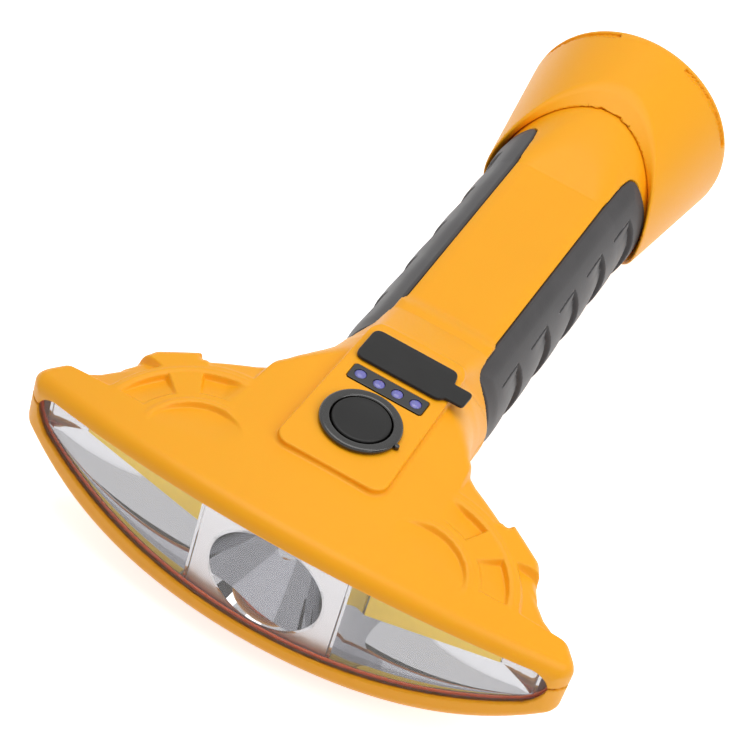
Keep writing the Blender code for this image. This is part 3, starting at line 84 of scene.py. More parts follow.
# Head
HALF_WIDTH = 72.5
CENTRE_TOP_Z = -1.5
TOP_DROP = 12.1
CENTRE_BOTTOM_Z = -45.3
BOTTOM_RISE = 5.1
BOTTOM_RISE_END = 11.3
NECK_SINK = -2.8
EDGE_RADIUS = 2.6
NECK_RADIUS = 15.0
NECK_BLEND_Y = (9.0, 33.0)
NECK_END_RADIUS = 20.3
NECK_END_Y = (30.0, 38.0)
BOW = 15.7
LEAN = 3.0
LIP_Y = -41.8
LIP_ROLL = 4.2
LIP_EDGE = 0.5
LIP_SIDE = 3.8
LIP_TOP = 4.7
LIP_BOTTOM = 6.5
LIP_CORNER = 5.2
OPEN_TOP_DROP = 10.6
OPEN_BOTTOM_RISE = 10.6
OPEN_BOTTOM_RISE_END = 5.6
THROAT = 1.2
WALL = 1.8
SEAT_DEPTH = 3.2

# Head outline on one side, seen from above: x, y and the radius of the corner
HEAD_OUTLINE = (
    (-40.0, -70.0, 0.0),
    (72.5, -70.0, 0.0),
    (72.5, -21.0, 6.0),
    (65.0, -14.0, 3.0),
    (60.2, -13.2, 1.5),
    (41.0, 0.4, 6.0),
    (30.4, 6.4, 1.4),
    (27.4, 9.0, 2.0),
    (25.4, 12.0, 4.0),
    (23.6, 17.0, 6.0),
    (22.3, 22.0, 6.0),
    (21.3, 27.0, 6.0),
    (20.5, 33.0, 4.0),
    (20.5, 38.0, 0.0),
    (-40.0, 38.0, 0.0),
)
TAB_OUTLINE = (
    (38.0, -6.0, 0.0),
    (42.4, 2.6, 0.9),
    (52.2, -2.6, 2.6),
    (57.0, -11.0, 1.0),
    (46.0, -14.0, 0.0),
)

# Deck panel and the ramp behind it
PANEL_FRONT_Y = -17.0
PANEL_HALF_FRONT = 14.6
PANEL_HALF_BACK = 13.0
PANEL_BACK_Y = 34.2
PANEL_CORNER = 4.0
PANEL_EDGE = 0.5
PANEL_FOOT = 0.9
RAMP_HALF = 12.4
RAMP_EDGE = 1.8
RAMP_FOOT = 5.0
RAMP_Y = (31.0, 50.0)
RAMP_FOOT_Y = (24.0, 36.0)

# Wheel relief on the head
HUB = (29.8, -26.5)
HUB_RADIUS = 11.6
POCKET_INNER = 15.6
POCKET_OUTER = 22.4
RIM_BEAD = 24.0
RIM_OUTER = 26.0
POCKET_DEPTH = 1.5
HUB_DEPTH = 1.2
STEP_DEPTH = 1.3
FALL_DEPTH = 2.4
WALL_RUN = 0.5
BEAD_HEIGHT = 0.28
BEAD_WIDTH = 0.8
HUB_BEAD = HUB_RADIUS + 1.2
FAR_STEP_DEPTH = 0.25
FAR_FALL_SHARE = 0.8
FALL_RUN = 9.0
POCKET_FAR_DEG = (68.5, 97.5)
POCKET_NEAR_DEG = (15.0, 46.5)
FAR_RAMP_DEG = (97.0, 83.0)
NEAR_RAMP_DEG = (8.0, 34.0)
BEAD_FAR_DEG = (98.0, 92.0)
BEAD_NEAR_DEG = (10.0, 18.0)
HUB_BEAD_FAR_DEG = (112.0, 96.0)
HUB_BEAD_NEAR_DEG = (-4.0, 14.0)
SLOPE_FAR_DEG = (68.0, 70.5, 95.5, 93.5)
SLOPE_NEAR_DEG = (13.0, 17.0)
HUB_FADE_Y = (-2.0, 10.0)
HUB_FADE_X = (-10.0, -1.0)

# Openings in the deck
BUTTON_HOLE = 9.4
WINDOW_Y = 14.8
WINDOW_HALF = (10.1, 2.7)
WINDOW_CORNER = 0.8
WINDOW_PROUD = 0.1
WINDOW_THICKNESS = 0.8
LIGHT_PITCH = 5.0
LIGHT_RADIUS = 1.5
LIGHT_COUNT = 4
LIGHT_MIDDLE_Z = -0.25
LIGHT_FLATNESS = 0.4
COVER_Y = 24.6
PLUG_BED_HALF = (9.3, 3.4)
PLUG_BED_DEPTH = 0.9
PORTS = ((-3.2, 7.1, 3.2), (7.6, 3.2, 1.8))
GAP = 0.3

# Case screws and the posts they go into
BOSS_PLACES = ((33.0, -5.5), (-33.0, -5.5), (0.0, 42.0), (0.0, 132.0))
BOSS_RADIUS = 3.0
SINK_RADIUS = 2.7
SINK_TOP_Z = -29.85
SHANK_RADIUS = 1.6
BOARD_POSTS = ((7.6, -9.6), (-7.6, -9.6))
BOARD_POST_RADIUS = 2.0
BOARD_TOP_Z = -8.7

# Grips
GRIP_OUTLINE = (
    (40.3, 14.1, 2.6),
    (128.4, 14.1, 0.0),
    (134.6, 14.9, 5.0),
    (135.0, 34.0, 0.0),
    (134.2, 52.2, 6.0),
    (40.8, 52.2, 6.0),
    (39.6, 30.0, 8.0),
    (40.0, 20.0, 0.0),
)
GRIP_BED = 1.6
GRIP_PROUD = 0.15
GRIP_EDGE = 0.6
SCALE_FIRST_Y = 57.5
SCALE_PITCH = 17.0
SCALE_COUNT = 5
SCALE_LENGTH = 13.0
SCALE_TOP_S = 22.2
SCALE_DEPTH = 1.3
SCALE_MIDDLE_S = 31.0
SCALE_BEND = 0.018
SCALE_SHIFT = 1.2
SCALE_FOOT_S = (51.0, 44.0)
HOOK_WIDTH = 0.55
HOOK_LINE = 9.5
GRIP_CROWN = 0.55
GRIP_CROWN_RUN = 5.0
HOOK_DEPTH = 0.5

# Tail cup
CUP_CREASE_Y = 151.8
CUP_CREASE_SWEEP = 23.5
CUP_SEAM_Y = 144.6
CUP_SEAM_SWEEP = 9.7
CUP_FRONT_RADIUS = 21.5
CUP_CONE_Y = 144.0
CUP_CONE_RADIUS = 24.96
CUP_CONE_RISE = 0.131
CUP_RADIUS = 28.5
TAIL_Y = 174.5
CUP_RIM = 2.6
CUP_CREASE_ROUND = 1.0
CUP_GROOVE_Y = 170.9
CUP_GROOVE_HALF = 0.8
CUP_GROOVE_DEPTH = 0.9
CUP_GROOVE_DEG = 25.0
CUP_BORE_END = 22.3
CAP_RADIUS = 22.0
CAP_THICKNESS = 2.5

# Optics
SPOT_Z = -23.6
SPOT_RADIUS = 14.8
SPOT_HOLE = 4.2
SPOT_DEPTH = 18.0
PLATE_HALF_X = 18.9
PLATE_Z = (-39.4, -5.4)
REFLECTOR_WALL = 0.7
TROUGH_END_X = 65.5
SLOT_X = (21.5, 56.0)
SLOT_TOP_Z = -19.0
SLOT_BOTTOM_Z = (-31.5, -22.8)
SLOT_Y = -23.0
TROUGH_BULGE = 2.2
PHOSPHOR_DEPTH = 0.7
LENS_GAP = 0.1
LENS_Y = LIP_Y + THROAT + LENS_GAP
LENS_THICKNESS = 1.0
LENS_LAP = 0.7
SEAL_THICKNESS = 0.5
SEAL_REACH = 0.3
REFLECTOR_Y = LENS_Y + LENS_THICKNESS + LENS_GAP + SEAL_THICKNESS + GAP

# Finishes: sizes of their patterns in millimetres, and the usual range of the noise
DRIFT_MM = 35.0
RUB_MM = 9.0
FLOW_MM = 18.0
PHOSPHOR_GRAIN_MM = 1.4
TRACK_MM = 2.5
GRAIN_ENDS = (0.3, 0.7)
RUB_ENDS = (0.35, 0.75)

# Stage: floor and lamps in metres, the camera's aim and the dark cards in millimetres
FLOOR_HALF = 6.0
FLOOR_GLOW = 0.72
KEY_LAMP = ((0.75, -0.15, 0.75), 0.7)
TOP_LAMP = ((-0.15, 0.05, 1.0), 0.9)
LAMP_TARGET = (0, 0, 0.03)
CARDS = (("card_left", (-90.0, -200.0, 330.0), 110.0), ("card_right", (260.0, -70.0, 120.0), 150.0))
CAMERA_AIM = (-2.41, 7.73, 8.71)

# Controls
BUTTON_RADIUS = 7.3
BUTTON_TOP_Z = 1.7
BUTTON_FOOT_Z = -5.2
BUTTON_DISH = 0.32
DISH_RADIUS = 6.5
BRIM_RADIUS = 8.3
BRIM_HEIGHT = 0.8
RING_RADIUS = 10.2
RING_BORE = 7.6
RING_Z = (0.3, 1.6)
COVER_Z = (0.3, 1.3)


def frame_origin():
    """Where the millimetre frame stands: on the panel, under the middle of the push button."""
    low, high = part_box("button_cap")
    middle = (Vector(low) + Vector(high)) / 2
    return np.array((middle.x, middle.y, high[2] - BUTTON_TOP_Z * MM))


ORIGIN = frame_origin()


def placed(points):
    """Points in the millimetre frame as metres in the model's frame."""
    return np.asarray(points, dtype=float) * MM + ORIGIN


# Distance rules


def join(a, b, radius):
    """Both bodies together, with a hollow fillet where they meet."""
    hollow = np.hypot(np.maximum(radius - a, 0), np.maximum(radius - b, 0))
    return np.maximum(radius, np.minimum(a, b)) - hollow


def meet(a, b, radius):
    """What the two bodies have in common, with a rounded edge."""
    edge = np.hypot(np.maximum(radius + a, 0), np.maximum(radius + b, 0))
    return np.minimum(-radius, np.maximum(a, b)) + edge


def cut(body, tool, radius):
    """The body without the tool, with a rounded edge."""
    return meet(body, -tool, radius)


def ease(value, start, end):
    """Runs smoothly from 0 at start to 1 at end."""
    share = np.clip((value - start) / (end - start), 0, 1)
    return share * share * (3 - 2 * share)


def rounded_corners(corners, steps=6):
    """The outline of a polygon, each of whose corners has a radius of its own."""
    points = []
    count = len(corners)
    for index, (x, y, radius) in enumerate(corners):
        here = np.array((x, y))
        back = np.array(corners[index - 1][:2]) - here
        ahead = np.array(corners[(index + 1) % count][:2]) - here
        back_length = np.linalg.norm(back)
        ahead_length = np.linalg.norm(ahead)
        back = back / back_length
        ahead = ahead / ahead_length
        half = math.acos(float(np.clip(back @ ahead, -1, 1))) / 2
        if radius == 0 or half > 1.55:
            points.append(here)
            continue
        reach = min(radius / math.tan(half), back_length / 2, ahead_length / 2)
        for share in np.linspace(0, 1, steps + 1):
            points.append((1 - share) ** 2 * (here + back * reach) + 2 * share * (1 - share) * here
                          + share**2 * (here + ahead * reach))
    return np.array(points)


def outline_distance(points, x, y):
    """Distance to a closed outline, below zero inside."""
    nearest = np.full(np.broadcast(x, y).shape, np.inf)
    inside = np.zeros(nearest.shape, dtype=bool)
    for start, end in zip(points, np.roll(points, -1, axis=0)):
        run_x, run_y = end - start
        along = (x - start[0]) * run_x + (y - start[1]) * run_y
        share = np.clip(along / (run_x**2 + run_y**2 + TINY), 0, 1)
        nearest = np.minimum(nearest, np.hypot(x - start[0] - share * run_x, y - start[1] - share * run_y))
        spans = (start[1] > y) != (end[1] > y)
        crossing = start[0] + (y - start[1]) * run_x / (run_y if run_y else TINY)
        inside ^= spans & (x < crossing)
    return np.where(inside, -nearest, nearest)


def rounded_box(x, y, half_x, half_y, corner, centre=(0.0, 0.0)):
    """Distance to a rectangle with round corners."""
    over_x = np.abs(x - centre[0]) - half_x + corner
    over_y = np.abs(y - centre[1]) - half_y + corner
    outside = np.hypot(np.maximum(over_x, 0), np.maximum(over_y, 0))
    return outside + np.minimum(np.maximum(over_x, over_y), 0) - corner


def disc(x, y, radius, centre=(0.0, 0.0)):
    return np.hypot(x - centre[0], y - centre[1]) - radius


HEAD_EDGE = rounded_corners(HEAD_OUTLINE)
TAB_EDGE = rounded_corners(TAB_OUTLINE)
GRIP_PATCH = rounded_corners(GRIP_OUTLINE)


# Head and handle


def top_z(x):
    return CENTRE_TOP_Z - TOP_DROP * (x / HALF_WIDTH) ** 2


def bottom_z(x, y):
    share = (x / HALF_WIDTH) ** 2
    return (CENTRE_BOTTOM_Z + BOTTOM_RISE * share + BOTTOM_RISE_END * share**2
            - NECK_SINK * ease(y, *NECK_BLEND_Y))


def front_y(centre_y, x, z):
    """The bowed front, which leans back at its foot."""
    height = CENTRE_TOP_Z - LIP_TOP - CENTRE_BOTTOM_Z - LIP_BOTTOM
    return centre_y + BOW * (x / HALF_WIDTH) ** 2 + LEAN * (CENTRE_TOP_Z - LIP_TOP - z) / height


def facet_z(y):
    """Height of the ramp between the panel and the strip on the handle, and of the strip's lifted end."""
    ramp = STRIP_Z * (y - FACET_START_Y) / FACET_RUN
    lift = STRIP_Z + STRIP_RISE * (y - FLARE_START_Y)
    return np.maximum(np.maximum(ramp, STRIP_Z), lift)


def handle_radius(y):
    return HANDLE_RADIUS + (FLARE_RADIUS - HANDLE_RADIUS) * np.clip(
        (y - FLARE_START_Y) / (HANDLE_END_Y - FLARE_START_Y), 0, 1)


def side_length(x, y, z):
    """Arc length from the handle's top line down its side."""
    return HANDLE_RADIUS * np.arctan2(np.abs(x), z - AXIS_Z)


def sector_distance(radius, degrees, inner, outer, start, end):
    """Distance to a ring sector round the hub of the wheel relief."""
    middle = (start + end) / 2
    half = np.radians((end - start) / 2)
    turn = np.abs(np.radians(degrees - middle))
    side = radius * np.sin(np.clip(turn - half, -np.pi / 2, np.pi / 2))
    return np.maximum(side, np.maximum(radius - outer, inner - radius))


def wheel_relief(across, y):
    """Height that the wheel relief adds to the head's top surface."""
    along_x = across - HUB[0]
    along_y = y - HUB[1]
    radius = np.hypot(along_x, along_y)
    degrees = np.degrees(np.arctan2(along_y, along_x))

    def step(distance, run=WALL_RUN):
        return 1 - ease(distance, -run, run)

    pocket_far = sector_distance(radius, degrees, POCKET_INNER, POCKET_OUTER, *POCKET_FAR_DEG)
    pocket_near = sector_distance(radius, degrees, POCKET_INNER, POCKET_OUTER, *POCKET_NEAR_DEG)
    slant = 0.35 + 0.65 * ease(radius, POCKET_INNER - 1, POCKET_OUTER - 1)
    relief = -POCKET_DEPTH * slant * step(pocket_far) * ease(degrees, *FAR_RAMP_DEG)
    relief -= POCKET_DEPTH * slant * step(pocket_near) * (ease(degrees, *NEAR_RAMP_DEG) * 0.6 + 0.4)
    relief -= HUB_DEPTH * step(radius - HUB_RADIUS) * ease(along_y, *HUB_FADE_Y) * ease(along_x, *HUB_FADE_X)

    bead_rim = np.exp(-((radius - RIM_BEAD) / BEAD_WIDTH) ** 2) * ease(degrees, *BEAD_FAR_DEG)
    bead_rim = bead_rim * ease(degrees, *BEAD_NEAR_DEG)
    bead_hub = np.exp(-((radius - HUB_BEAD) / BEAD_WIDTH) ** 2) * ease(degrees, *HUB_BEAD_FAR_DEG)
    bead_hub = bead_hub * ease(degrees, *HUB_BEAD_NEAR_DEG)
    relief += BEAD_HEIGHT * (bead_rim + bead_hub)

    past = radius - RIM_OUTER
    fall = FALL_DEPTH * np.clip(past / FALL_RUN, 0, 1.2)
    border = POCKET_NEAR_DEG[1] - past * 0.9
    near_side = ease(degrees, border, border - 3.1) * ease(degrees, *SLOPE_NEAR_DEG)
    far_side = ease(degrees, *SLOPE_FAR_DEG[:2]) * ease(degrees, *SLOPE_FAR_DEG[2:])
    relief -= (STEP_DEPTH * ease(past, -0.6, 0.6) + fall) * near_side
    relief -= (FAR_STEP_DEPTH * ease(past, -0.8, 0.8) + fall * FAR_FALL_SHARE) * far_side
    return relief


def opening_top(share):
    return CENTRE_TOP_Z - LIP_TOP - OPEN_TOP_DROP * share


def opening_bottom(share):
    return CENTRE_BOTTOM_Z + LIP_BOTTOM + OPEN_BOTTOM_RISE * share + OPEN_BOTTOM_RISE_END * share**2


def opening(x, z, grow=0.0):
    """The lens opening seen from the front."""
    share = (x / HALF_WIDTH) ** 2
    side = np.abs(x) - HALF_WIDTH + LIP_SIDE - grow
    top = z - opening_top(share) - grow
    bottom = opening_bottom(share) - z - grow
    return meet(meet(side, top * 0.97, LIP_CORNER), bottom * 0.93, LIP_CORNER)


def panel_edge(across, y):
    half = PANEL_HALF_FRONT + (PANEL_HALF_BACK - PANEL_HALF_FRONT) * (y - PANEL_FRONT_Y) / (
        PANEL_BACK_Y - PANEL_FRONT_Y)
    centre = (0, (PANEL_FRONT_Y + PANEL_BACK_Y) / 2)
    return rounded_box(across, y, half, (PANEL_BACK_Y - PANEL_FRONT_Y) / 2, PANEL_CORNER, centre)


def torch_form(x, y, z):
    """The outer form of both housing halves in one."""
    across = np.abs(x)
    plan = join(outline_distance(HEAD_EDGE, across, y), outline_distance(TAB_EDGE, across, y), 0.7)
    edge = EDGE_RADIUS + (NECK_RADIUS - EDGE_RADIUS) * ease(y, *NECK_BLEND_Y)
    edge = edge + (NECK_END_RADIUS - NECK_RADIUS) * ease(y, *NECK_END_Y)
    foot = EDGE_RADIUS + (NECK_END_RADIUS - EDGE_RADIUS) * ease(y, *NECK_BLEND_Y)
    roof = z - top_z(x) - wheel_relief(across, y)
    head = meet(plan, roof, edge)
    head = meet(head, bottom_z(x, y) - z, foot)
    head = meet(head, front_y(LIP_Y, x, z) - y, LIP_ROLL)
    ramp_plane = (z - facet_z(y)) * 0.95
    head = meet(head, ramp_plane, 1.0)
    barrel = np.hypot(x, z - AXIS_Z) - handle_radius(y)
    barrel = meet(barrel, ramp_plane, STRIP_EDGE)
    barrel = meet(barrel, np.maximum(HANDLE_START_Y - y, y - HANDLE_END_Y), 0.3)
    body = join(head, barrel, 3.0)
    sides = np.maximum(across - RAMP_HALF, np.maximum(RAMP_Y[0] - y, y - RAMP_Y[1]))
    ramp = meet(sides, np.maximum(z, ramp_plane), RAMP_EDGE)
    body = join(body, ramp, RAMP_FOOT * ease(y, *RAMP_FOOT_Y) + 0.01)
    panel = meet(panel_edge(across, y), np.maximum(z, ramp_plane), PANEL_EDGE)
    return join(body, panel, PANEL_FOOT)


def deck_openings(x, y, z):
    """All that is sunk into or cut through the deck panel."""
    tools = disc(x, y, BUTTON_HOLE)
    slots = rounded_box(x, y, LIGHT_PITCH * 1.5 + LIGHT_RADIUS + GAP, LIGHT_RADIUS + GAP, LIGHT_RADIUS,
                        (0, WINDOW_Y))
    tools = np.minimum(tools, slots)
    for centre_x, half_x, half_y in PORTS:
        tools = np.minimum(tools, rounded_box(x, y, half_x, half_y, GAP, (centre_x, COVER_Y)))
    through = np.maximum(tools, -z - 8.0)
    half_x, half_y = WINDOW_HALF
    window = rounded_box(x, y, half_x + GAP / 2, half_y + GAP / 2, WINDOW_CORNER, (0, WINDOW_Y))
    window = np.maximum(window, WINDOW_PROUD - WINDOW_THICKNESS - GAP - z)
    bed = rounded_box(x, y, *PLUG_BED_HALF, 1.2, (0, COVER_Y))
    bed = np.maximum(bed, -PLUG_BED_DEPTH - z)
    return np.minimum(through, np.minimum(window, bed))


def grip_patch(x, y, z, grow):
    return outline_distance(GRIP_PATCH, y, side_length(x, y, z)) - grow


def parting_z(x):
    """Height of the seam between the two housing halves."""
    return AXIS_Z + 2.4 * (x / HALF_WIDTH) ** 2


def housing_shell(x, y, z):
    """The hollow housing with its lens opening and the beds of the grips."""
    form = torch_form(x, y, z)
    radius = np.hypot(x, z - AXIS_Z)
    bed = np.maximum(grip_patch(x, y, z, 0.25), handle_radius(y) - GRIP_BED - radius)
    outside = cut(form, bed, 0.15)
    inside = outside + WALL
    mouth = np.maximum(opening(x, z), y - front_y(LIP_Y + THROAT, x, z))
    seat = np.maximum(opening(x, z, LENS_LAP + GAP), front_y(LIP_Y + THROAT, x, z) - y)
    seat = np.maximum(seat, y - front_y(LIP_Y + THROAT + SEAT_DEPTH, x, z))
    inside = np.maximum(inside, front_y(LIP_Y + THROAT, x, z) - y)
    hollow = np.minimum(inside, seat)
    return cut(np.maximum(outside, -hollow), mouth, LIP_EDGE)


def upper_housing_rule(x, y, z):
    shell = housing_shell(x, y, z)
    for centre in BOSS_PLACES:
        boss = np.maximum(disc(x, y, BOSS_RADIUS, centre), np.maximum(AXIS_Z + GAP - z, z - top_z(x) + WALL))
        boss = np.maximum(boss, z - facet_z(y) + WALL)
        shell = np.minimum(shell, boss)
    for centre in BOARD_POSTS:
        post = np.maximum(disc(x, y, BOARD_POST_RADIUS, centre), np.maximum(BOARD_TOP_Z - z, z + WALL))
        shell = np.minimum(shell, post)
    shell = cut(shell, deck_openings(x, y, z), 0.2)
    pilot = np.full(np.broadcast(x, y, z).shape, 99.0)
    for centre in BOSS_PLACES:
        pilot = np.minimum(pilot, np.maximum(disc(x, y, SHANK_RADIUS, centre), z - AXIS_Z - 6.0))
    shell = np.maximum(shell, -pilot)
    return meet(shell, parting_z(x) + GAP / 2 - z, 0.25)


def lower_housing_rule(x, y, z):
    shell = housing_shell(x, y, z)
    for centre in BOSS_PLACES:
        boss = np.maximum(disc(x, y, SINK_RADIUS + WALL, centre),
                          np.maximum(z - AXIS_Z + GAP, bottom_z(x, y) + WALL / 2 - z))
        shell = np.minimum(shell, boss)
    for centre in BOSS_PLACES:
        sink = np.maximum(disc(x, y, SINK_RADIUS, centre), z - SINK_TOP_Z)
        shell = cut(shell, sink, 0.3)
        shell = np.maximum(shell, -disc(x, y, SHANK_RADIUS, centre))
    return meet(shell, z - parting_z(x) + GAP / 2, 0.25)


# Grips, tail cup and port cover


def scale_sink(along, down):
    """How far the grip's skin is sunk: each scale slopes down to a curved step, with a hook-shaped groove."""
    sink = np.zeros(np.broadcast(along, down).shape)
    hook = np.full(sink.shape, 99.0)
    for index in range(SCALE_COUNT):
        step_y = SCALE_FIRST_Y + SCALE_PITCH * index
        bent = step_y - SCALE_BEND * (down - SCALE_MIDDLE_S) ** 2 + SCALE_SHIFT
        before = bent - along
        share = np.clip(1 - before / SCALE_LENGTH, 0, 1)
        open_up = ease(down, SCALE_TOP_S - 0.3, SCALE_TOP_S + 3.5) * ease(down, *SCALE_FOOT_S)
        sink = np.maximum(sink, SCALE_DEPTH * share**2 * open_up * ease(before, -0.25, 0.25))
        arc = np.hypot(before, np.maximum(SCALE_TOP_S - down, 0) + np.maximum(down - SCALE_FOOT_S[1], 0))
        past_end = np.maximum(before - HOOK_LINE, 0) + np.maximum(-before, 0)
        line = np.hypot(down - SCALE_TOP_S - 0.05 * before, past_end)
        hook = np.minimum(hook, np.minimum(arc, line * 1.6))
    return sink + HOOK_DEPTH * ease(hook, HOOK_WIDTH, 0.0)


def grip_rule(x, y, z):
    radius = np.hypot(x, z - AXIS_Z)
    down = side_length(x, y, z)
    skin = handle_radius(y) + GRIP_PROUD + GRIP_CROWN - scale_sink(y, down)
    edge = outline_distance(GRIP_PATCH, y, down)
    skin = skin - GRIP_CROWN * ease(edge, -GRIP_CROWN_RUN, 0.0)
    shell = np.maximum(radius - skin, handle_radius(y) - GRIP_BED + GAP / 2 - radius)
    return meet(shell, edge, GRIP_EDGE)


def left_grip_rule(x, y, z):
    return np.maximum(grip_rule(x, y, z), x)


def right_grip_rule(x, y, z):
    return np.maximum(grip_rule(x, y, z), -x)


def tail_cup_rule(x, y, z):
    """A cone. Its front face runs from the seam out to a crease that sweeps forward at the sides."""
    radius = np.hypot(x, z - AXIS_Z)
    swept = x**2 / np.maximum(radius**2, 1e-6)
    crease_y = CUP_CREASE_Y - CUP_CREASE_SWEEP * swept
    seam_y = CUP_SEAM_Y - CUP_SEAM_SWEEP * swept
    crease_radius = CUP_CONE_RADIUS + CUP_CONE_RISE * (crease_y - CUP_CONE_Y)
    share = (radius - CUP_FRONT_RADIUS) / (crease_radius - CUP_FRONT_RADIUS)
    slope = (crease_y - seam_y) / (crease_radius - CUP_FRONT_RADIUS)
    front = (seam_y + (crease_y - seam_y) * share - y) / np.hypot(1, slope)
    cone = radius - np.minimum(CUP_CONE_RADIUS + CUP_CONE_RISE * (y - CUP_CONE_Y), CUP_RADIUS)
    cup = meet(cone, front, CUP_CREASE_ROUND)
    cup = meet(cup, y - TAIL_Y, CUP_RIM)
    turn = np.degrees(np.arctan2(np.abs(x), np.abs(z - AXIS_Z)))
    arc = np.radians(np.abs(turn - 45.0) - CUP_GROOVE_DEG) * CUP_RADIUS + CUP_GROOVE_HALF
    groove = np.hypot(np.maximum(arc, 0), y - CUP_GROOVE_Y) - CUP_GROOVE_HALF
    groove = np.maximum(groove, CUP_RADIUS - CUP_GROOVE_DEPTH - radius)
    cup = cut(cup, groove, 0.25)
    bore = np.where(y < HANDLE_END_Y + GAP, handle_radius(y) + GAP * 0.6, CUP_BORE_END)
    return cut(cup, radius - bore, 0.5)


COVER_EDGE = rounded_corners((
    (-11.6, 18.9, 2.4),
    (11.0, 18.9, 2.2),
    (12.4, 20.4, 0.8),
    (17.2, 20.4, 1.3),
    (17.4, 26.2, 1.3),
    (12.2, 26.2, 0.6),
    (11.4, 30.3, 2.2),
    (-11.4, 30.3, 2.4),
))


def port_cover_rule(x, y, z):
    edge = outline_distance(COVER_EDGE, x, y)
    crown = COVER_Z[1] - 0.12 * ease(edge, -2.2, 0.0)
    slab = meet(meet(edge, z - crown, 0.35), COVER_Z[0] - z, 0.12)
    plug = rounded_box(x, y, PLUG_BED_HALF[0] - GAP, PLUG_BED_HALF[1] - GAP, 1.0, (0, COVER_Y))
    plug = np.maximum(plug, np.maximum(COVER_Z[0] - PLUG_BED_DEPTH - z, z - COVER_Z[0] - 0.3))
    return np.minimum(slab, plug)


# Meshes from rules


def spaced(*runs):
    """Grid positions: each run is a start, an end and the step between."""
    values = []
    for start, end, step in runs:
        count = max(2, int(round((end - start) / (step * coarseness()))) + 1)
        values.extend(np.linspace(start, end, count))
    values = np.array(sorted(values))
    return values[np.concatenate(([True], np.diff(values) > 1e-4))]


def coarseness():
    return 1.0


def sample(rule, xs, ys, zs):
    """The rule's values on the grid, worked out in slices along x."""
    values = np.empty((len(xs), len(ys), len(zs)), dtype=np.float32)
    for start in range(0, len(xs), 24):
        part = xs[start:start + 24]
        values[start:start + 24] = rule(part[:, None, None], ys[None, :, None], zs[None, None, :])
    return values


def surface_net(rule, xs, ys, zs):
    """Corner points and faces of the rule's zero surface: a point in each cell it crosses."""
    values = sample(rule, xs, ys, zs)
    shape = np.array(values.shape) - 1
    axes = (xs, ys, zs)
    totals = np.zeros((int(np.prod(shape)), 3))
    counts = np.zeros(len(totals))
    quads = []
    for axis in range(3):
        low = [slice(None)] * 3
        high = [slice(None)] * 3
        low[axis] = slice(0, -1)
        high[axis] = slice(1, None)
        first = values[tuple(low)]
        second = values[tuple(high)]
        crossed = np.argwhere((first < 0) != (second < 0))
        others = [other for other in range(3) if other != axis]
        for other in others:
            crossed = crossed[(crossed[:, other] > 0) & (crossed[:, other] < shape[other])]
        at = tuple(crossed.T)
        start = first[at].astype(float)
        share = start / (start - second[at])
        points = np.stack([axes[i][crossed[:, i]] for i in range(3)], axis=1)
        step = axes[axis][crossed[:, axis] + 1] - axes[axis][crossed[:, axis]]
        points[:, axis] += share * step
        cells = []
        for shift_a, shift_b in ((0, 0), (1, 0), (1, 1), (0, 1)):
            cell = crossed.copy()
            cell[:, others[0]] -= shift_a
            cell[:, others[1]] -= shift_b
            flat = (cell[:, 0] * shape[1] + cell[:, 1]) * shape[2] + cell[:, 2]
            for i in range(3):
                totals[:, i] += np.bincount(flat, points[:, i], len(totals))
            counts += np.bincount(flat, minlength=len(totals))
            cells.append(flat)
        faces = np.stack(cells, axis=1)
        turned_round = (start < 0) != (axis != 1)
        faces[turned_round] = faces[turned_round][:, ::-1]
        quads.append(faces)
    used = np.flatnonzero(counts)
    numbers = np.full(len(totals), -1)
    numbers[used] = np.arange(len(used))
    return totals[used] / counts[used, None], numbers[np.concatenate(quads)]


def slopes(rule, points):
    """Gradient of the rule at each point."""
    reach = 0.02
    x, y, z = points.T
    return np.stack([
        (rule(x + reach, y, z) - rule(x - reach, y, z)) / (2 * reach),
        (rule(x, y + reach, z) - rule(x, y - reach, z)) / (2 * reach),
        (rule(x, y, z + reach) - rule(x, y, z - reach)) / (2 * reach),
    ], axis=1)


def settled(rule, points, rounds=3):
    """The points moved onto the rule's zero surface."""
    for _ in range(rounds):
        slope = slopes(rule, points)
        square = np.maximum((slope**2).sum(axis=1), 0.05)
        move = -rule(*points.T) / square
        step = slope * move[:, None]
        length = np.linalg.norm(step, axis=1)
        step *= np.minimum(1, 0.25 / np.maximum(length, 1e-9))[:, None]
        points = points + step
    return points


def linked(name, data):
    """A new object in the scene."""
    obj = bpy.data.objects.new(name, data)
    bpy.context.scene.collection.objects.link(obj)
    return obj


def plain_mesh(name, points, faces):
    mesh = bpy.data.meshes.new(name)
    mesh.vertices.add(len(points))
    mesh.vertices.foreach_set("co", placed(points).ravel())
    sides = faces.shape[1]
    mesh.loops.add(faces.size)
    mesh.loops.foreach_set("vertex_index", faces.ravel().astype(np.int32))
    mesh.polygons.add(len(faces))
    mesh.polygons.foreach_set("loop_start", np.arange(0, faces.size, sides, dtype=np.int32))
    mesh.update(calc_edges=True)
    return mesh


def shaded_by_rule(obj, rule):
    """Settles the corner points on the rule and takes the shading from its slope."""
    mesh = obj.data
    points = np.empty(len(mesh.vertices) * 3)
    mesh.vertices.foreach_get("co", points)
    points = (points.reshape(-1, 3) - ORIGIN) / MM
    points = settled(rule, points, 2)
    mesh.vertices.foreach_set("co", placed(points).ravel())
    normals = slopes(rule, points)
    normals /= np.maximum(np.linalg.norm(normals, axis=1), 1e-9)[:, None]
    mesh.polygons.foreach_set("use_smooth", np.ones(len(mesh.polygons), dtype=bool))
    mesh.update()
    facing = np.empty(len(mesh.vertices) * 3)
    mesh.vertices.foreach_get("normal", facing)
    facing = facing.reshape(-1, 3)
    astray = (normals * facing).sum(axis=1) < 0.6
    normals[astray] = facing[astray]
    mesh.normals_split_custom_set_from_vertices([tuple(normal) for normal in normals])


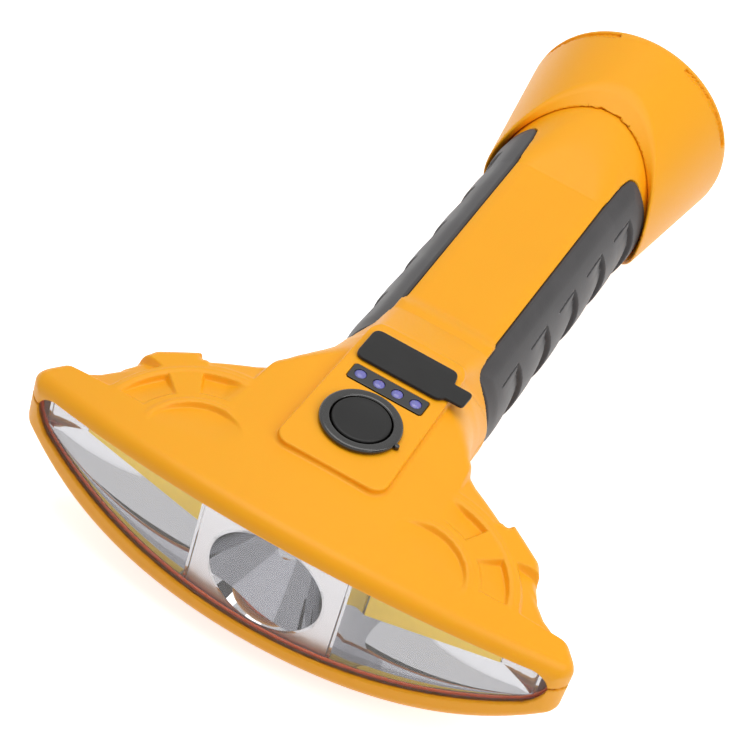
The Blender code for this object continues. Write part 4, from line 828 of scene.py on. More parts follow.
def thinned(obj, triangles):
    """Joins the small faces of flat areas until the mesh has about the number asked for."""
    count = sum(len(face.vertices) - 2 for face in obj.data.polygons)
    if count <= triangles:
        return
    modifier = obj.modifiers.new("thin", "DECIMATE")
    modifier.ratio = triangles / count
    baked(obj)


def baked(obj):
    """Turns the object's modifiers into plain mesh."""
    bpy.context.view_layer.update()
    evaluated = obj.evaluated_get(bpy.context.evaluated_depsgraph_get())
    mesh = bpy.data.meshes.new_from_object(evaluated)
    obj.modifiers.clear()
    obj.data = mesh


def moulded(name, rule, grid, triangles):
    """A piece made from its rule."""
    points, faces = surface_net(rule, *grid)
    points = settled(rule, points, 1)
    obj = linked(name, plain_mesh(name, points, faces))
    thinned(obj, triangles)
    shaded_by_rule(obj, rule)
    return obj


def built(name, points, faces, smooth_deg=40.0):
    """A piece from its points in millimetres and faces of any size."""
    mesh = bpy.data.meshes.new(name)
    mesh.from_pydata([tuple(point) for point in placed(points)], [], faces)
    mesh.update()
    obj = linked(name, mesh)
    mesh.polygons.foreach_set("use_smooth", np.ones(len(mesh.polygons), dtype=bool))
    mesh.set_sharp_from_angle(angle=math.radians(smooth_deg))
    return obj


def turned(name, profile, centre, axis="Z", steps=96, smooth_deg=40.0):
    """A closed turned piece. The profile runs from the axis back to the axis as radius and height."""
    angles = [2 * math.pi * step / steps for step in range(steps)]
    points = []
    rings = []
    for radius, height in profile:
        if radius < 1e-6:
            rings.append([len(points)])
            points.append((0.0, 0.0, height))
            continue
        rings.append(list(range(len(points), len(points) + steps)))
        points.extend((radius * math.cos(a), radius * math.sin(a), height) for a in angles)
    faces = []
    for lower, upper in zip(rings, rings[1:]):
        for step in range(steps):
            after = (step + 1) % steps
            loop = [lower[step % len(lower)], lower[after % len(lower)],
                    upper[after % len(upper)], upper[step % len(upper)]]
            faces.append(list(dict.fromkeys(loop)))
    if len(rings[0]) > 1:
        for step in range(steps):
            after = (step + 1) % steps
            faces.append([rings[-1][step], rings[-1][after], rings[0][after], rings[0][step]])
    points = np.array(points)
    if axis == "Y":
        points = points[:, (0, 2, 1)]
        faces = [face[::-1] for face in faces]
    points = points + np.array(centre)
    return built(name, points, faces, smooth_deg)


def arc(centre, radius, start_deg, end_deg, steps=6):
    """Points of a profile's rounded corner."""
    angles = np.radians(np.linspace(start_deg, end_deg, steps + 1))
    return [(centre[0] + radius * math.cos(a), centre[1] + radius * math.sin(a)) for a in angles]


def sheet(name, front, back, closed=False, smooth_deg=40.0):
    """A wall between two grids of points with the same rows, which are rings where it is closed."""
    front = np.array(front)
    back = np.array(back)
    rows, columns = front.shape[:2]
    points = np.concatenate((front.reshape(-1, 3), back.reshape(-1, 3)))
    offset = rows * columns
    wraps = columns if closed else columns - 1
    faces = []
    for row in range(rows - 1):
        for column in range(wraps):
            after = (column + 1) % columns
            corners = (row * columns + column, row * columns + after,
                       (row + 1) * columns + after, (row + 1) * columns + column)
            faces.append(list(corners))
            faces.append([offset + corner for corner in reversed(corners)])
    for row, turn in ((0, 1), (rows - 1, -1)):
        for column in range(wraps):
            after = (column + 1) % columns
            loop = [row * columns + after, row * columns + column,
                    offset + row * columns + column, offset + row * columns + after]
            faces.append(loop[::turn])
    if not closed:
        for column, turn in ((0, 1), (columns - 1, -1)):
            for row in range(rows - 1):
                loop = [row * columns + column, (row + 1) * columns + column,
                        offset + (row + 1) * columns + column, offset + row * columns + column]
                faces.append(loop[::turn])
    return built(name, points, faces, smooth_deg)


# Materials


def linear(text):
    """Linear colour of an sRGB hex value."""
    parts = [int(text[i:i + 2], 16) / 255 for i in (1, 3, 5)]
    return tuple(c / 12.92 if c <= 0.04045 else ((c + 0.055) / 1.055) ** 2.4 for c in parts) + (1.0,)


def add(tree, kind, settings=None, links=None):
    """Adds a node, sets its attributes or sockets, and links its sockets."""
    made = tree.nodes.new(kind)
    for key, value in (settings or {}).items():
        if isinstance(key, str) and hasattr(made, key):
            setattr(made, key, value)
        else:
            made.inputs[key].default_value = value
    for key, source in (links or {}).items():
        tree.links.new(source, made.inputs[key])
    return made


def new_material(name):
    material = bpy.data.materials.new(name)
    material.use_nodes = True
    tree = material.node_tree
    tree.nodes.clear()
    place = add(tree, "ShaderNodeTexCoord").outputs["Object"]
    return material, tree, place


def finish_material(tree, shader, bump_source=None, bump_mm=0.0, bump_strength=1.0):
    if bump_source is not None:
        bump = add(tree, "ShaderNodeBump", {"Strength": bump_strength, "Distance": bump_mm * MM},
                   {"Height": bump_source})
        tree.links.new(bump.outputs["Normal"], shader.inputs["Normal"])
    add(tree, "ShaderNodeOutputMaterial", None, {"Surface": shader.outputs[0]})


def tinted(tree, source, colours, ends):
    """Runs from one colour to the other as the source goes from the first end to the second."""
    ramp = add(tree, "ShaderNodeValToRGB", None, {"Fac": source})
    for element, colour, end in zip(ramp.color_ramp.elements, colours, ends):
        element.position = end
        element.color = colour
    return ramp.outputs["Color"]


def scaled(colour, factor):
    return tuple(min(1.0, channel * factor) for channel in colour[:3]) + (1.0,)


def spread_between(tree, source, low, high, ends=GRAIN_ENDS):
    """The source's usual range mapped to a range of its own."""
    return add(tree, "ShaderNodeMapRange", {"From Min": ends[0], "From Max": ends[1], "To Min": low,
                                            "To Max": high}, {"Value": source}).outputs["Result"]


def noise(tree, place, size_mm, detail=2.0):
    """Noise whose lumps are about the given size across."""
    return add(tree, "ShaderNodeTexNoise", {"Scale": 1 / (size_mm * MM), "Detail": detail},
               {"Vector": place}).outputs["Fac"]


def direct_rays(tree):
    """One for the rays that show the background itself: from the camera, a mirror or a clear piece."""
    path = add(tree, "ShaderNodeLightPath").outputs
    mirrored = add(tree, "ShaderNodeMath", {"operation": "MAXIMUM"},
                   {0: path["Is Camera Ray"], 1: path["Is Glossy Ray"]})
    return add(tree, "ShaderNodeMath", {"operation": "MAXIMUM"},
               {0: mirrored.outputs[0], 1: path["Is Transmission Ray"]}).outputs[0]


def moulded_plastic(name, colour, roughness, grain_mm, bump_mm, drift=0.05, coat=0.0, subsurface=0.0,
                    specular=0.5):
    """Injection-moulded plastic: a faint drift of colour, and a fine grain that softens the gloss."""
    material, tree, place = new_material(name)
    broad = noise(tree, place, DRIFT_MM, 3.0)
    grain = noise(tree, place, grain_mm)
    base = linear(colour)
    tint = tinted(tree, broad, (scaled(base, 1 - drift), scaled(base, 1 + drift)), GRAIN_ENDS)
    sheen = spread_between(tree, grain, roughness - 0.04, roughness + 0.05)
    shader = add(tree, "ShaderNodeBsdfPrincipled",
                 {"IOR": 1.53, "Coat Weight": coat, "Coat Roughness": 0.12, "Specular IOR Level": specular,
                  "Subsurface Weight": subsurface, "Subsurface Radius": (1.0, 0.35, 0.1),
                  "Subsurface Scale": 1.6 * MM},
                 {"Base Color": tint, "Roughness": sheen})
    finish_material(tree, shader, grain, bump_mm, 0.35)
    return material


def rubber(name, colour, roughness, grain_mm, bump_mm):
    """Thermoplastic rubber: a soft low sheen and a fine matt grain with faint rub marks."""
    material, tree, place = new_material(name)
    grain = noise(tree, place, grain_mm, 3.0)
    rubs = noise(tree, place, RUB_MM, 4.0)
    base = linear(colour)
    tint = tinted(tree, rubs, (scaled(base, 0.85), scaled(base, 1.2)), RUB_ENDS)
    gloss = spread_between(tree, rubs, roughness - 0.06, roughness + 0.06)
    shader = add(tree, "ShaderNodeBsdfPrincipled",
                 {"IOR": 1.52, "Specular IOR Level": 0.3, "Sheen Weight": 0.12, "Sheen Roughness": 0.5},
                 {"Base Color": tint, "Roughness": gloss})
    finish_material(tree, shader, grain, bump_mm, 0.5)
    return material


def metal(name, colour, roughness, grain_mm, bump_mm, spread=0.03):
    """Metal or a metal film: its tint, and a roughness that drifts with handling and coating."""
    material, tree, place = new_material(name)
    drift = noise(tree, place, grain_mm, 3.0)
    gloss = spread_between(tree, drift, max(0.01, roughness - spread), roughness + spread)
    shader = add(tree, "ShaderNodeBsdfPrincipled", {"Base Color": linear(colour), "Metallic": 1.0},
                 {"Roughness": gloss})
    finish_material(tree, shader, drift, bump_mm, 0.3)
    return material


def clear_plastic(name, colour, alpha):
    """Polished clear polycarbonate: nearly unseen, with a thin hard gloss and a trace of flow lines."""
    material, tree, place = new_material(name)
    flow = noise(tree, place, FLOW_MM, 1.0)
    gloss = spread_between(tree, flow, 0.02, 0.06, (0.0, 1.0))
    shader = add(tree, "ShaderNodeBsdfPrincipled",
                 {"Base Color": linear(colour), "Alpha": alpha, "IOR": 1.58, "Specular IOR Level": 1.0,
                  "Coat Weight": 1.0, "Coat Roughness": 0.02},
                 {"Roughness": gloss})
    finish_material(tree, shader, flow, 0.02, 0.2)
    return material


def phosphor(name, colour):
    """Silicone filled with yellow phosphor: a matt gel with fine grains and a pale haze over it, and a faint
    painted glow that lightens it in the shade of the trough.
    """
    material, tree, place = new_material(name)
    grains = add(tree, "ShaderNodeTexVoronoi", {"Scale": 1 / (PHOSPHOR_GRAIN_MM * MM)},
                 {"Vector": place}).outputs["Distance"]
    base = linear(colour)
    tint = tinted(tree, grains, (base, scaled(base, 0.86)), (0.0, 0.8))
    # The emission is a painted glow: the unlit phosphor shines faintly in its own yellow so it stays bright
    # where it sits in shade
    shader = add(tree, "ShaderNodeBsdfPrincipled",
                 {"Roughness": 0.55, "IOR": 1.41, "Subsurface Weight": 0.3,
                  "Subsurface Radius": (1.0, 0.8, 0.2), "Subsurface Scale": 0.8 * MM,
                  "Emission Color": base, "Emission Strength": 0.3},
                 {"Base Color": tint})
    finish_material(tree, shader, grains, 0.03, 0.4)
    return material


def circuit_board(name, colour, mask):
    """Glass-fibre board under green solder mask: a faint weave and thin raised tracks."""
    material, tree, place = new_material(name)
    tracks = add(tree, "ShaderNodeTexBrick",
                 {"Scale": 1 / (TRACK_MM * MM), "Color1": linear(colour), "Color2": linear(colour),
                  "Mortar": linear(mask), "Mortar Size": 0.03}, {"Vector": place})
    shader = add(tree, "ShaderNodeBsdfPrincipled", {"Roughness": 0.4, "IOR": 1.5, "Coat Weight": 0.3},
                 {"Base Color": tracks.outputs["Color"]})
    finish_material(tree, shader, tracks.outputs["Fac"], 0.05, 0.5)
    return material


class TorchStudio(bpy.types.PropertyGroup):
    """Camera and light of the studio."""

    azimuth: FloatProperty(name="Azimuth", description="Turn of the camera round the torch from its front",
                           subtype="ANGLE", default=math.radians(13.75))
    elevation: FloatProperty(name="Elevation", description="Height angle of the camera", subtype="ANGLE",
                             default=math.radians(42.85))
    roll: FloatProperty(name="Roll", description="Turn of the camera about its own line of sight",
                        subtype="ANGLE", default=math.radians(19.32))
    distance: FloatProperty(name="Distance", description="From the camera to the point it looks at",
                            unit="LENGTH", default=0.9)
    focal_length: FloatProperty(name="Focal length", description="Lens of the camera in millimetres", min=1.0,
                                default=185.3)
    key_power: FloatProperty(name="Key power", description="Power of the large lamp on the right",
                             unit="POWER", default=3.5)
    fill_power: FloatProperty(name="Fill power", description="Power of the lamp overhead", unit="POWER",
                              default=5.0)
    sky: FloatProperty(name="Sky", description="Strength of the even white light from all sides", min=0.0,
                       default=0.40)


MATERIALS = {}


def dress(obj, material, slot, body, *nodes):
    """Gives the piece its finish and its body, and hides the CAD nodes that it stands for."""
    obj.data.materials.clear()
    obj.data.materials.append(MATERIALS[material])
    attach(obj, body)
    if nodes:
        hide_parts(*nodes)
    return obj


class TORCH_OT_materials(bpy.types.Operator):
    """Makes every finish of the torch"""

    bl_idname = "torch.materials"
    bl_label = "Finishes"

    def execute(self, context):
        # Satin injection-moulded ABS: even colour, broad soft highlights, slightly deeper in the hollows
        MATERIALS["orange"] = moulded_plastic("satin_moulded_abs_orange", "#FAAA12", 0.42, 0.5, 0.03, 0.02,
                                              subsurface=0.15, specular=0.3)
        # Overmoulded thermoplastic rubber: dull, with a grey sheen where light grazes it
        MATERIALS["grip"] = rubber("overmoulded_rubber_grip", "#403E3F", 0.5, 0.5, 0.05)
        # Compression-moulded silicone rubber: darker and smoother than the grips
        MATERIALS["cover"] = rubber("moulded_silicone_cover", "#100F0E", 0.55, 0.4, 0.03)
        MATERIALS["seal"] = rubber("moulded_silicone_seal", "#FF6A2A", 0.5, 0.6, 0.03)
        # Polished moulded acetal: near black with a clear round highlight
        MATERIALS["black"] = moulded_plastic("polished_moulded_acetal_black", "#141210", 0.24, 0.6, 0.01,
                                             coat=0.4)
        MATERIALS["cap"] = moulded_plastic("satin_moulded_acetal_black", "#0D0C0B", 0.4, 0.5, 0.02, 0.05,
                                           specular=0.3)
        MATERIALS["window"] = moulded_plastic("printed_acrylic_window_black", "#0E0D0D", 0.12, 2.0, 0.005,
                                              0.03, coat=0.5)
        # Tinted epoxy of an unlit blue light: milky violet under a domed clear skin
        MATERIALS["light"] = moulded_plastic("cast_epoxy_light_violet", "#6A68B4", 0.3, 0.8, 0.02, 0.1,
                                             coat=0.5, subsurface=0.3)
        # Vacuum-metallised plastic: a mirror with a trace of the moulding's waviness
        MATERIALS["chrome"] = metal("vacuum_metallised_chrome", "#BCBCC0", 0.03, 9.0, 0.02, 0.015)
        # The same film over a finely textured face: silver grey without a mirror image
        MATERIALS["plate"] = metal("vacuum_metallised_satin", "#C4C3C6", 0.34, 0.6, 0.01, 0.05)
        MATERIALS["lens"] = clear_plastic("polished_clear_polycarbonate", "#FFFFFF", 0.07)
        # Phosphor silicone with a faint painted glow, so the strips stay yellow in the shaded trough
        MATERIALS["phosphor"] = phosphor("phosphor_filled_silicone", "#F3CC3E")
        MATERIALS["board"] = circuit_board("green_glass_fibre_board", "#0B4A25", "#2B7A45")
        MATERIALS["aluminium"] = metal("brushed_aluminium", "#BFC0C4", 0.34, 0.8, 0.02, 0.06)
        MATERIALS["steel"] = metal("zinc_plated_steel", "#A9AAAD", 0.28, 1.5, 0.01, 0.05)
        MATERIALS["cell"] = moulded_plastic("shrink_wrapped_cell_blue", "#1B4F9A", 0.3, 1.2, 0.02, 0.06,
                                            coat=0.3)
        MATERIALS["grey"] = moulded_plastic("moulded_polypropylene_grey", "#6C6C6C", 0.55, 0.6, 0.03, 0.05)
        MATERIALS["lead"] = moulded_plastic("extruded_pvc_lead_red", "#A01818", 0.45, 0.8, 0.01, 0.05)
        by_slot = {
            "orange_plastic": "orange", "grip_rubber": "grip", "black_plastic": "black",
            "cover_rubber": "cover", "clear_lens": "lens", "seal_rubber": "seal",
            "reflector_chrome": "chrome", "phosphor": "phosphor", "light_metal": "aluminium",
            "light_lens": "light", "steel": "steel", "circuit_board": "board", "cell_can": "cell",
            "grey_plastic": "grey", "lead_cover": "lead",
        }
        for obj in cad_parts.values():
            for holder in obj.material_slots:
                plain = holder.material.name.split(".")[0] if holder.material else ""
                holder.material = MATERIALS[by_slot.get(plain, "grey")]
        return {"FINISHED"}


class TORCH_OT_upper_housing(bpy.types.Operator):
    """Makes the upper half of the housing, with its deck panel and wheel relief"""

    bl_idname = "torch.upper_housing"
    bl_label = "Upper housing"

    def execute(self, context):
        grid = (spaced((-74.0, 74.0, FINE_CELL)),
                spaced((-44.0, 36.0, FINE_CELL), (36.0, 50.0, 0.6), (50.0, 148.5, 1.1)),
                spaced((-23.5, -16.0, 0.9), (-16.0, 0.8, FINE_CELL)))
        obj = moulded("upper_housing_skin", upper_housing_rule, grid, 190000)
        dress(obj, "orange", "orange_plastic", "housing", "upper_housing")
        return {"FINISHED"}


class TORCH_OT_lower_housing(bpy.types.Operator):
    """Makes the lower half of the housing, with the sinks for the case screws"""

    bl_idname = "torch.lower_housing"
    bl_label = "Lower housing"

    def execute(self, context):
        grid = (spaced((-74.0, 74.0, 0.75)),
                spaced((-44.0, -10.0, 0.6), (-10.0, 36.0, 0.9), (36.0, 148.5, 1.3)),
                spaced((-47.5, -18.5, 0.6)))
        obj = moulded("lower_housing_skin", lower_housing_rule, grid, 150000)
        dress(obj, "orange", "orange_plastic", "housing", "lower_housing")
        return {"FINISHED"}


class TORCH_OT_grips(bpy.types.Operator):
    """Makes the two rubber grips with their hooked scales"""

    bl_idname = "torch.grips"
    bl_label = "Grips"

    def execute(self, context):
        sides = (("left", left_grip_rule, -22.8, -7.0), ("right", right_grip_rule, 7.0, 22.8))
        for word, rule, start, end in sides:
            grid = (spaced((start, end, FINE_CELL)), spaced((38.5, 136.5, FINE_CELL)),
                    spaced((-42.5, -4.5, FINE_CELL)))
            obj = moulded(f"grip_{word}_skin", rule, grid, 110000)
            dress(obj, "grip", "grip_rubber", "housing", f"grip_{word}")
        return {"FINISHED"}


class TORCH_OT_tail(bpy.types.Operator):
    """Makes the tail cup and its end cap"""

    bl_idname = "torch.tail"
    bl_label = "Tail cup and end cap"

    def execute(self, context):
        across = spaced((-29.2, 29.2, 0.62))
        grid = (across, spaced((124.0, 175.2, 0.55)), across + AXIS_Z)
        obj = moulded("tail_cup_skin", tail_cup_rule, grid, 150000)
        dress(obj, "orange", "orange_plastic", "housing", "tail_cup")
        face = TAIL_Y
        back = TAIL_Y - CAP_THICKNESS
        profile = [(0.0, back), (CAP_RADIUS - 0.2, back), (CAP_RADIUS, back + 0.2)]
        profile += arc((CAP_RADIUS - 0.5, face - 0.5), 0.5, 0, 90)
        profile += [(14.0, face), (13.4, face - 0.25), (0.0, face - 0.25)]
        cap = turned("tail_end_cap_skin", profile, (0, 0, AXIS_Z), "Y", smooth_deg=30)
        dress(cap, "orange", "orange_plastic", "housing", "tail_end_cap")
        return {"FINISHED"}


def reflector_point(x, z):
    return front_y(REFLECTOR_Y, x, z)


def ring_at(radius, angles, depth):
    """A ring of the bowl: at depth 0 it lies on the bowed face, and further in it lies square to the axis."""
    x = radius * np.cos(angles)
    z = SPOT_Z + radius * np.sin(angles)
    centre = reflector_point(0.0, SPOT_Z)
    y = centre + SPOT_DEPTH * depth + (reflector_point(x, z) - centre) * (1 - depth) ** 3
    return np.stack((x, y, z), axis=1)


def plate_ring(share, angles, back):
    """A ring of the plate: share runs from 0 on its outline to 1 at the bowl."""
    middle = sum(PLATE_Z) / 2
    half = (PLATE_Z[1] - PLATE_Z[0]) / 2
    reach = np.minimum(PLATE_HALF_X / np.abs(np.cos(angles)), half / np.abs(np.sin(angles)))
    x = reach * np.cos(angles) * (1 - share) + SPOT_RADIUS * np.cos(angles) * share
    z = (middle + reach * np.sin(angles)) * (1 - share) + (SPOT_Z + SPOT_RADIUS * np.sin(angles)) * share
    return np.stack((x, reflector_point(x, z) + back, z), axis=1)


def slot_bottom(share):
    return SLOT_BOTTOM_Z[0] + (SLOT_BOTTOM_Z[1] - SLOT_BOTTOM_Z[0]) * share


def trough_ring(side, depth, wall):
    """A ring of the trough: depth runs from 0 at the mouth to 1 at the slot for the light strip."""
    run = np.linspace(0, 1, 24, endpoint=False)
    full = np.ones(len(run))
    across = np.concatenate((run, full, 1 - run, 0 * run))
    height = np.concatenate((full, 1 - run, 0 * run, run))
    squeeze = depth**TROUGH_BULGE
    start = PLATE_HALF_X + GAP + REFLECTOR_WALL
    mouth_x = start + (TROUGH_END_X - start) * across
    slot_x = SLOT_X[0] + (SLOT_X[1] - SLOT_X[0]) * across
    share = (mouth_x / HALF_WIDTH) ** 2
    bottom = opening_bottom(share)
    mouth_z = bottom + (opening_top(share) - bottom) * height
    slot_z = slot_bottom(across) + (SLOT_TOP_Z - slot_bottom(across)) * height
    x = side * (mouth_x + (slot_x - mouth_x) * squeeze + wall * (2 * across - 1))
    z = mouth_z + (slot_z - mouth_z) * squeeze + wall * (2 * height - 1)
    mouth_y = reflector_point(mouth_x, mouth_z)
    ring = np.stack((x, mouth_y + (SLOT_Y - mouth_y) * depth, z), axis=1)
    return ring[::-1] if side > 0 else ring


def lens_rule(x, y, z):
    middle = front_y(LENS_Y + LENS_THICKNESS / 2, x, z)
    return meet(opening(x, z, LENS_LAP), np.abs(y - middle) - LENS_THICKNESS / 2, 0.15)


def seal_rule(x, y, z):
    middle = front_y(LENS_Y + LENS_THICKNESS + LENS_GAP + SEAL_THICKNESS / 2, x, z)
    rim = np.maximum(opening(x, z, LENS_LAP), -opening(x, z, -SEAL_REACH))
    return meet(rim, np.abs(y - middle) - SEAL_THICKNESS / 2, 0.1)


class TORCH_OT_optics(bpy.types.Operator):
    """Makes the reflectors, the light strips, the seal and the lens"""

    bl_idname = "torch.optics"
    bl_label = "Lens and reflectors"

    def execute(self, context):
        angles = np.linspace(0, 2 * math.pi, 192, endpoint=False) + math.pi / 192
        depths = np.linspace(0, 1, 40) ** 1.5
        floor = (SPOT_HOLE / SPOT_RADIUS) ** 2
        radii = SPOT_RADIUS * np.sqrt(1 - depths * (1 - floor))
        inner = [ring_at(radius, angles, depth) for radius, depth in zip(radii, depths)]
        outer = [ring_at(radius + REFLECTOR_WALL, angles, depth) for radius, depth in zip(radii, depths)]
        bowl = sheet("spot_bowl_skin", inner, outer, True)
        dress(bowl, "chrome", "reflector_chrome", "housing", "spot_reflector")
        shares = np.linspace(0, 1, 9)
        plate = sheet("spot_plate_skin", [plate_ring(share, angles, 0.0) for share in shares],
                      [plate_ring(share, angles, REFLECTOR_WALL) for share in shares], True)
        dress(plate, "plate", "reflector_chrome", "housing")
        for side, word in ((-1, "left"), (1, "right")):
            depths = np.linspace(0, 1, 22)
            inner = [trough_ring(side, depth, 0.0) for depth in depths]
            outer = [trough_ring(side, depth, REFLECTOR_WALL) for depth in depths]
            trough = sheet(f"flood_reflector_{word}_skin", inner, outer, True)
            dress(trough, "chrome", "reflector_chrome", "housing", f"flood_reflector_{word}")
            self.strip(side, word)
        grid = (spaced((-70.5, 70.5, 0.9)), spaced((-42.0, -22.0, 0.4)), spaced((-41.0, -4.0, 0.9)))
        lens = moulded("lens_skin", lens_rule, grid, 90000)
        dress(lens, "lens", "clear_lens", "housing", "lens")
        grid = (spaced((-70.5, 70.5, 0.5)), spaced((-40.5, -21.5, 0.22)), spaced((-41.0, -4.0, 0.4)))
        seal = moulded("lens_seal_skin", seal_rule, grid, 90000)
        dress(seal, "seal", "seal_rubber", "housing", "lens_seal")
        return {"FINISHED"}

    def strip(self, side, word):
        """The phosphor on its board: a slab with a slightly domed face."""
        margin = GAP / (SLOT_X[1] - SLOT_X[0])
        shares = np.linspace(margin, 1 - margin, 40)[::-side]
        heights = np.linspace(0, 1, 9)
        front = []
        back = []
        for height in heights:
            x = side * (SLOT_X[0] + (SLOT_X[1] - SLOT_X[0]) * shares)
            low = slot_bottom(shares) + GAP
            z = low + (SLOT_TOP_Z - GAP - low) * height
            dome = PHOSPHOR_DEPTH * (0.6 + 0.4 * math.sin(math.pi * height))
            front.append(np.stack((x, np.full(len(x), SLOT_Y - dome), z), axis=1))
            back.append(np.stack((x, np.full(len(x), SLOT_Y), z), axis=1))
        slab = sheet(f"strip_phosphor_{word}_skin", front, back)
        dress(slab, "phosphor", "phosphor", "housing", f"strip_phosphor_{word}")


def window_rule(x, y, z):
    """The printed window, with a hole for each light."""
    edge = rounded_box(x, y, *WINDOW_HALF, WINDOW_CORNER, (0, WINDOW_Y))
    slab = meet(edge, np.maximum(z - WINDOW_PROUD, WINDOW_PROUD - WINDOW_THICKNESS - z), 0.1)
    for index in range(LIGHT_COUNT):
        centre = (LIGHT_PITCH * (index - (LIGHT_COUNT - 1) / 2), WINDOW_Y)
        slab = cut(slab, disc(x, y, LIGHT_RADIUS + 0.05, centre), 0.05)
    return slab


def light_row():
    """Node group: a row of equal domed lights."""
    tree = bpy.data.node_groups.new("light_row", "GeometryNodeTree")
    face = tree.interface
    for name, kind in (("Start", "Vector"), ("Count", "Int"), ("Step", "Vector"), ("Radius", "Float"),
                       ("Flatness", "Vector"), ("Finish", "Material")):
        face.new_socket(name, in_out="INPUT", socket_type=f"NodeSocket{kind}")
    face.new_socket("Geometry", in_out="OUTPUT", socket_type="NodeSocketGeometry")
    given = add(tree, "NodeGroupInput").outputs
    line = add(tree, "GeometryNodeMeshLine", None,
               {"Count": given["Count"], "Start Location": given["Start"], "Offset": given["Step"]})
    ball = add(tree, "GeometryNodeMeshUVSphere", {"Segments": 40, "Rings": 20}, {"Radius": given["Radius"]})
    dome = add(tree, "GeometryNodeTransform", None,
               {"Geometry": ball.outputs["Mesh"], "Scale": given["Flatness"]})
    smooth = add(tree, "GeometryNodeSetShadeSmooth", None, {"Geometry": dome.outputs[0]})
    row = add(tree, "GeometryNodeInstanceOnPoints", None,
              {"Points": line.outputs[0], "Instance": smooth.outputs[0]})
    real = add(tree, "GeometryNodeRealizeInstances", None, {"Geometry": row.outputs[0]})
    final = add(tree, "GeometryNodeSetMaterial", None,
                {"Geometry": real.outputs[0], "Material": given["Finish"]})
    add(tree, "NodeGroupOutput", None, {"Geometry": final.outputs[0]})
    return tree


def from_nodes(name, tree, values):
    """A piece from a node group, its named inputs set, made plain."""
    obj = linked(name, bpy.data.meshes.new(name))
    modifier = obj.modifiers.new(name, "NODES")
    modifier.node_group = tree
    sockets = {item.name: item.identifier for item in tree.interface.items_tree if item.in_out == "INPUT"}
    for key, value in values.items():
        modifier[sockets[key]] = value
    baked(obj)
    return obj


class TORCH_OT_window(bpy.types.Operator):
    """Makes the black window and the row of battery lights"""

    bl_idname = "torch.window"
    bl_label = "Window and battery lights"

    def execute(self, context):
        grid = (spaced((-10.6, 10.6, 0.12)), spaced((11.8, 17.8, 0.12)), spaced((-1.0, 0.4, 0.12)))
        window = moulded("light_window_skin", window_rule, grid, 60000)
        dress(window, "window", "black_plastic", "housing", "light_window")
        first = placed((-LIGHT_PITCH * (LIGHT_COUNT - 1) / 2, WINDOW_Y, LIGHT_MIDDLE_Z))
        lights = from_nodes("battery_lights", light_row(), {
            "Start": tuple(first), "Count": LIGHT_COUNT, "Step": (LIGHT_PITCH * MM, 0.0, 0.0),
            "Radius": LIGHT_RADIUS * MM, "Flatness": (1.0, 1.0, LIGHT_FLATNESS),
            "Finish": MATERIALS["light"]})
        dress(lights, "light", "light_lens", "housing",
              *[f"battery_light_{index + 1}" for index in range(LIGHT_COUNT)])
        return {"FINISHED"}


class TORCH_OT_controls(bpy.types.Operator):
    """Makes the push button, its ring and the port cover"""

    bl_idname = "torch.controls"
    bl_label = "Button, ring and port cover"

    def execute(self, context):
        foot = BUTTON_FOOT_Z
        top = BUTTON_TOP_Z
        brim = foot + BRIM_HEIGHT
        profile = [(0.0, foot), (BRIM_RADIUS, foot), (BRIM_RADIUS, brim), (BUTTON_RADIUS, brim)]
        profile += arc((BUTTON_RADIUS - 0.55, top - 0.55), 0.55, 0, 90)
        profile += [(radius, top - BUTTON_DISH * (1 - (radius / DISH_RADIUS) ** 2))
                    for radius in (6.4, 5.6, 4.5, 3.3, 2.0, 1.0)]
        profile += [(0.0, top - BUTTON_DISH)]
        cap = turned("button_cap_skin", profile, (0, 0, 0), smooth_deg=50)
        dress(cap, "cap", "black_plastic", "button", "button_cap")
        spigot = RING_RADIUS - 1.1
        low, high = RING_Z
        profile = [(RING_BORE, -4.1), (spigot, -4.1), (spigot, low)]
        profile += arc((RING_RADIUS - 0.3, low + 0.3), 0.3, -90, 0, 3)
        profile += arc((RING_RADIUS - 0.75, high - 0.75), 0.75, 0, 90)
        profile += arc((RING_BORE + 0.6, high - 0.6), 0.6, 90, 180)
        ring = turned("button_ring_skin", profile, (0, 0, 0), smooth_deg=50)
        angle = math.radians(-9.0)
        reach = RING_RADIUS + 0.35
        profile = [(0.0, low), (0.7, low)] + arc((0.3, low + 0.7), 0.4, 0, 90, 4) + [(0.0, low + 1.1)]
        place = (reach * math.cos(angle), reach * math.sin(angle), 0)
        lug = turned("button_ring_lug", profile, place, steps=24)
        dress(ring, "black", "black_plastic", "housing", "button_ring")
        dress(lug, "black", "black_plastic", "housing")
        grid = (spaced((-12.4, 18.2, 0.2)), spaced((18.0, 31.2, 0.2)), spaced((-0.9, 1.6, 0.16)))
        cover = moulded("port_cover_skin", port_cover_rule, grid, 60000)
        dress(cover, "cover", "cover_rubber", "port_cover", "port_cover")
        return {"FINISHED"}


def square(name, half):
    mesh = bpy.data.meshes.new(name)
    corners = [(-half, -half, 0), (half, -half, 0), (half, half, 0), (-half, half, 0)]
    mesh.from_pydata(corners, [], [(0, 1, 2, 3)])
    return mesh


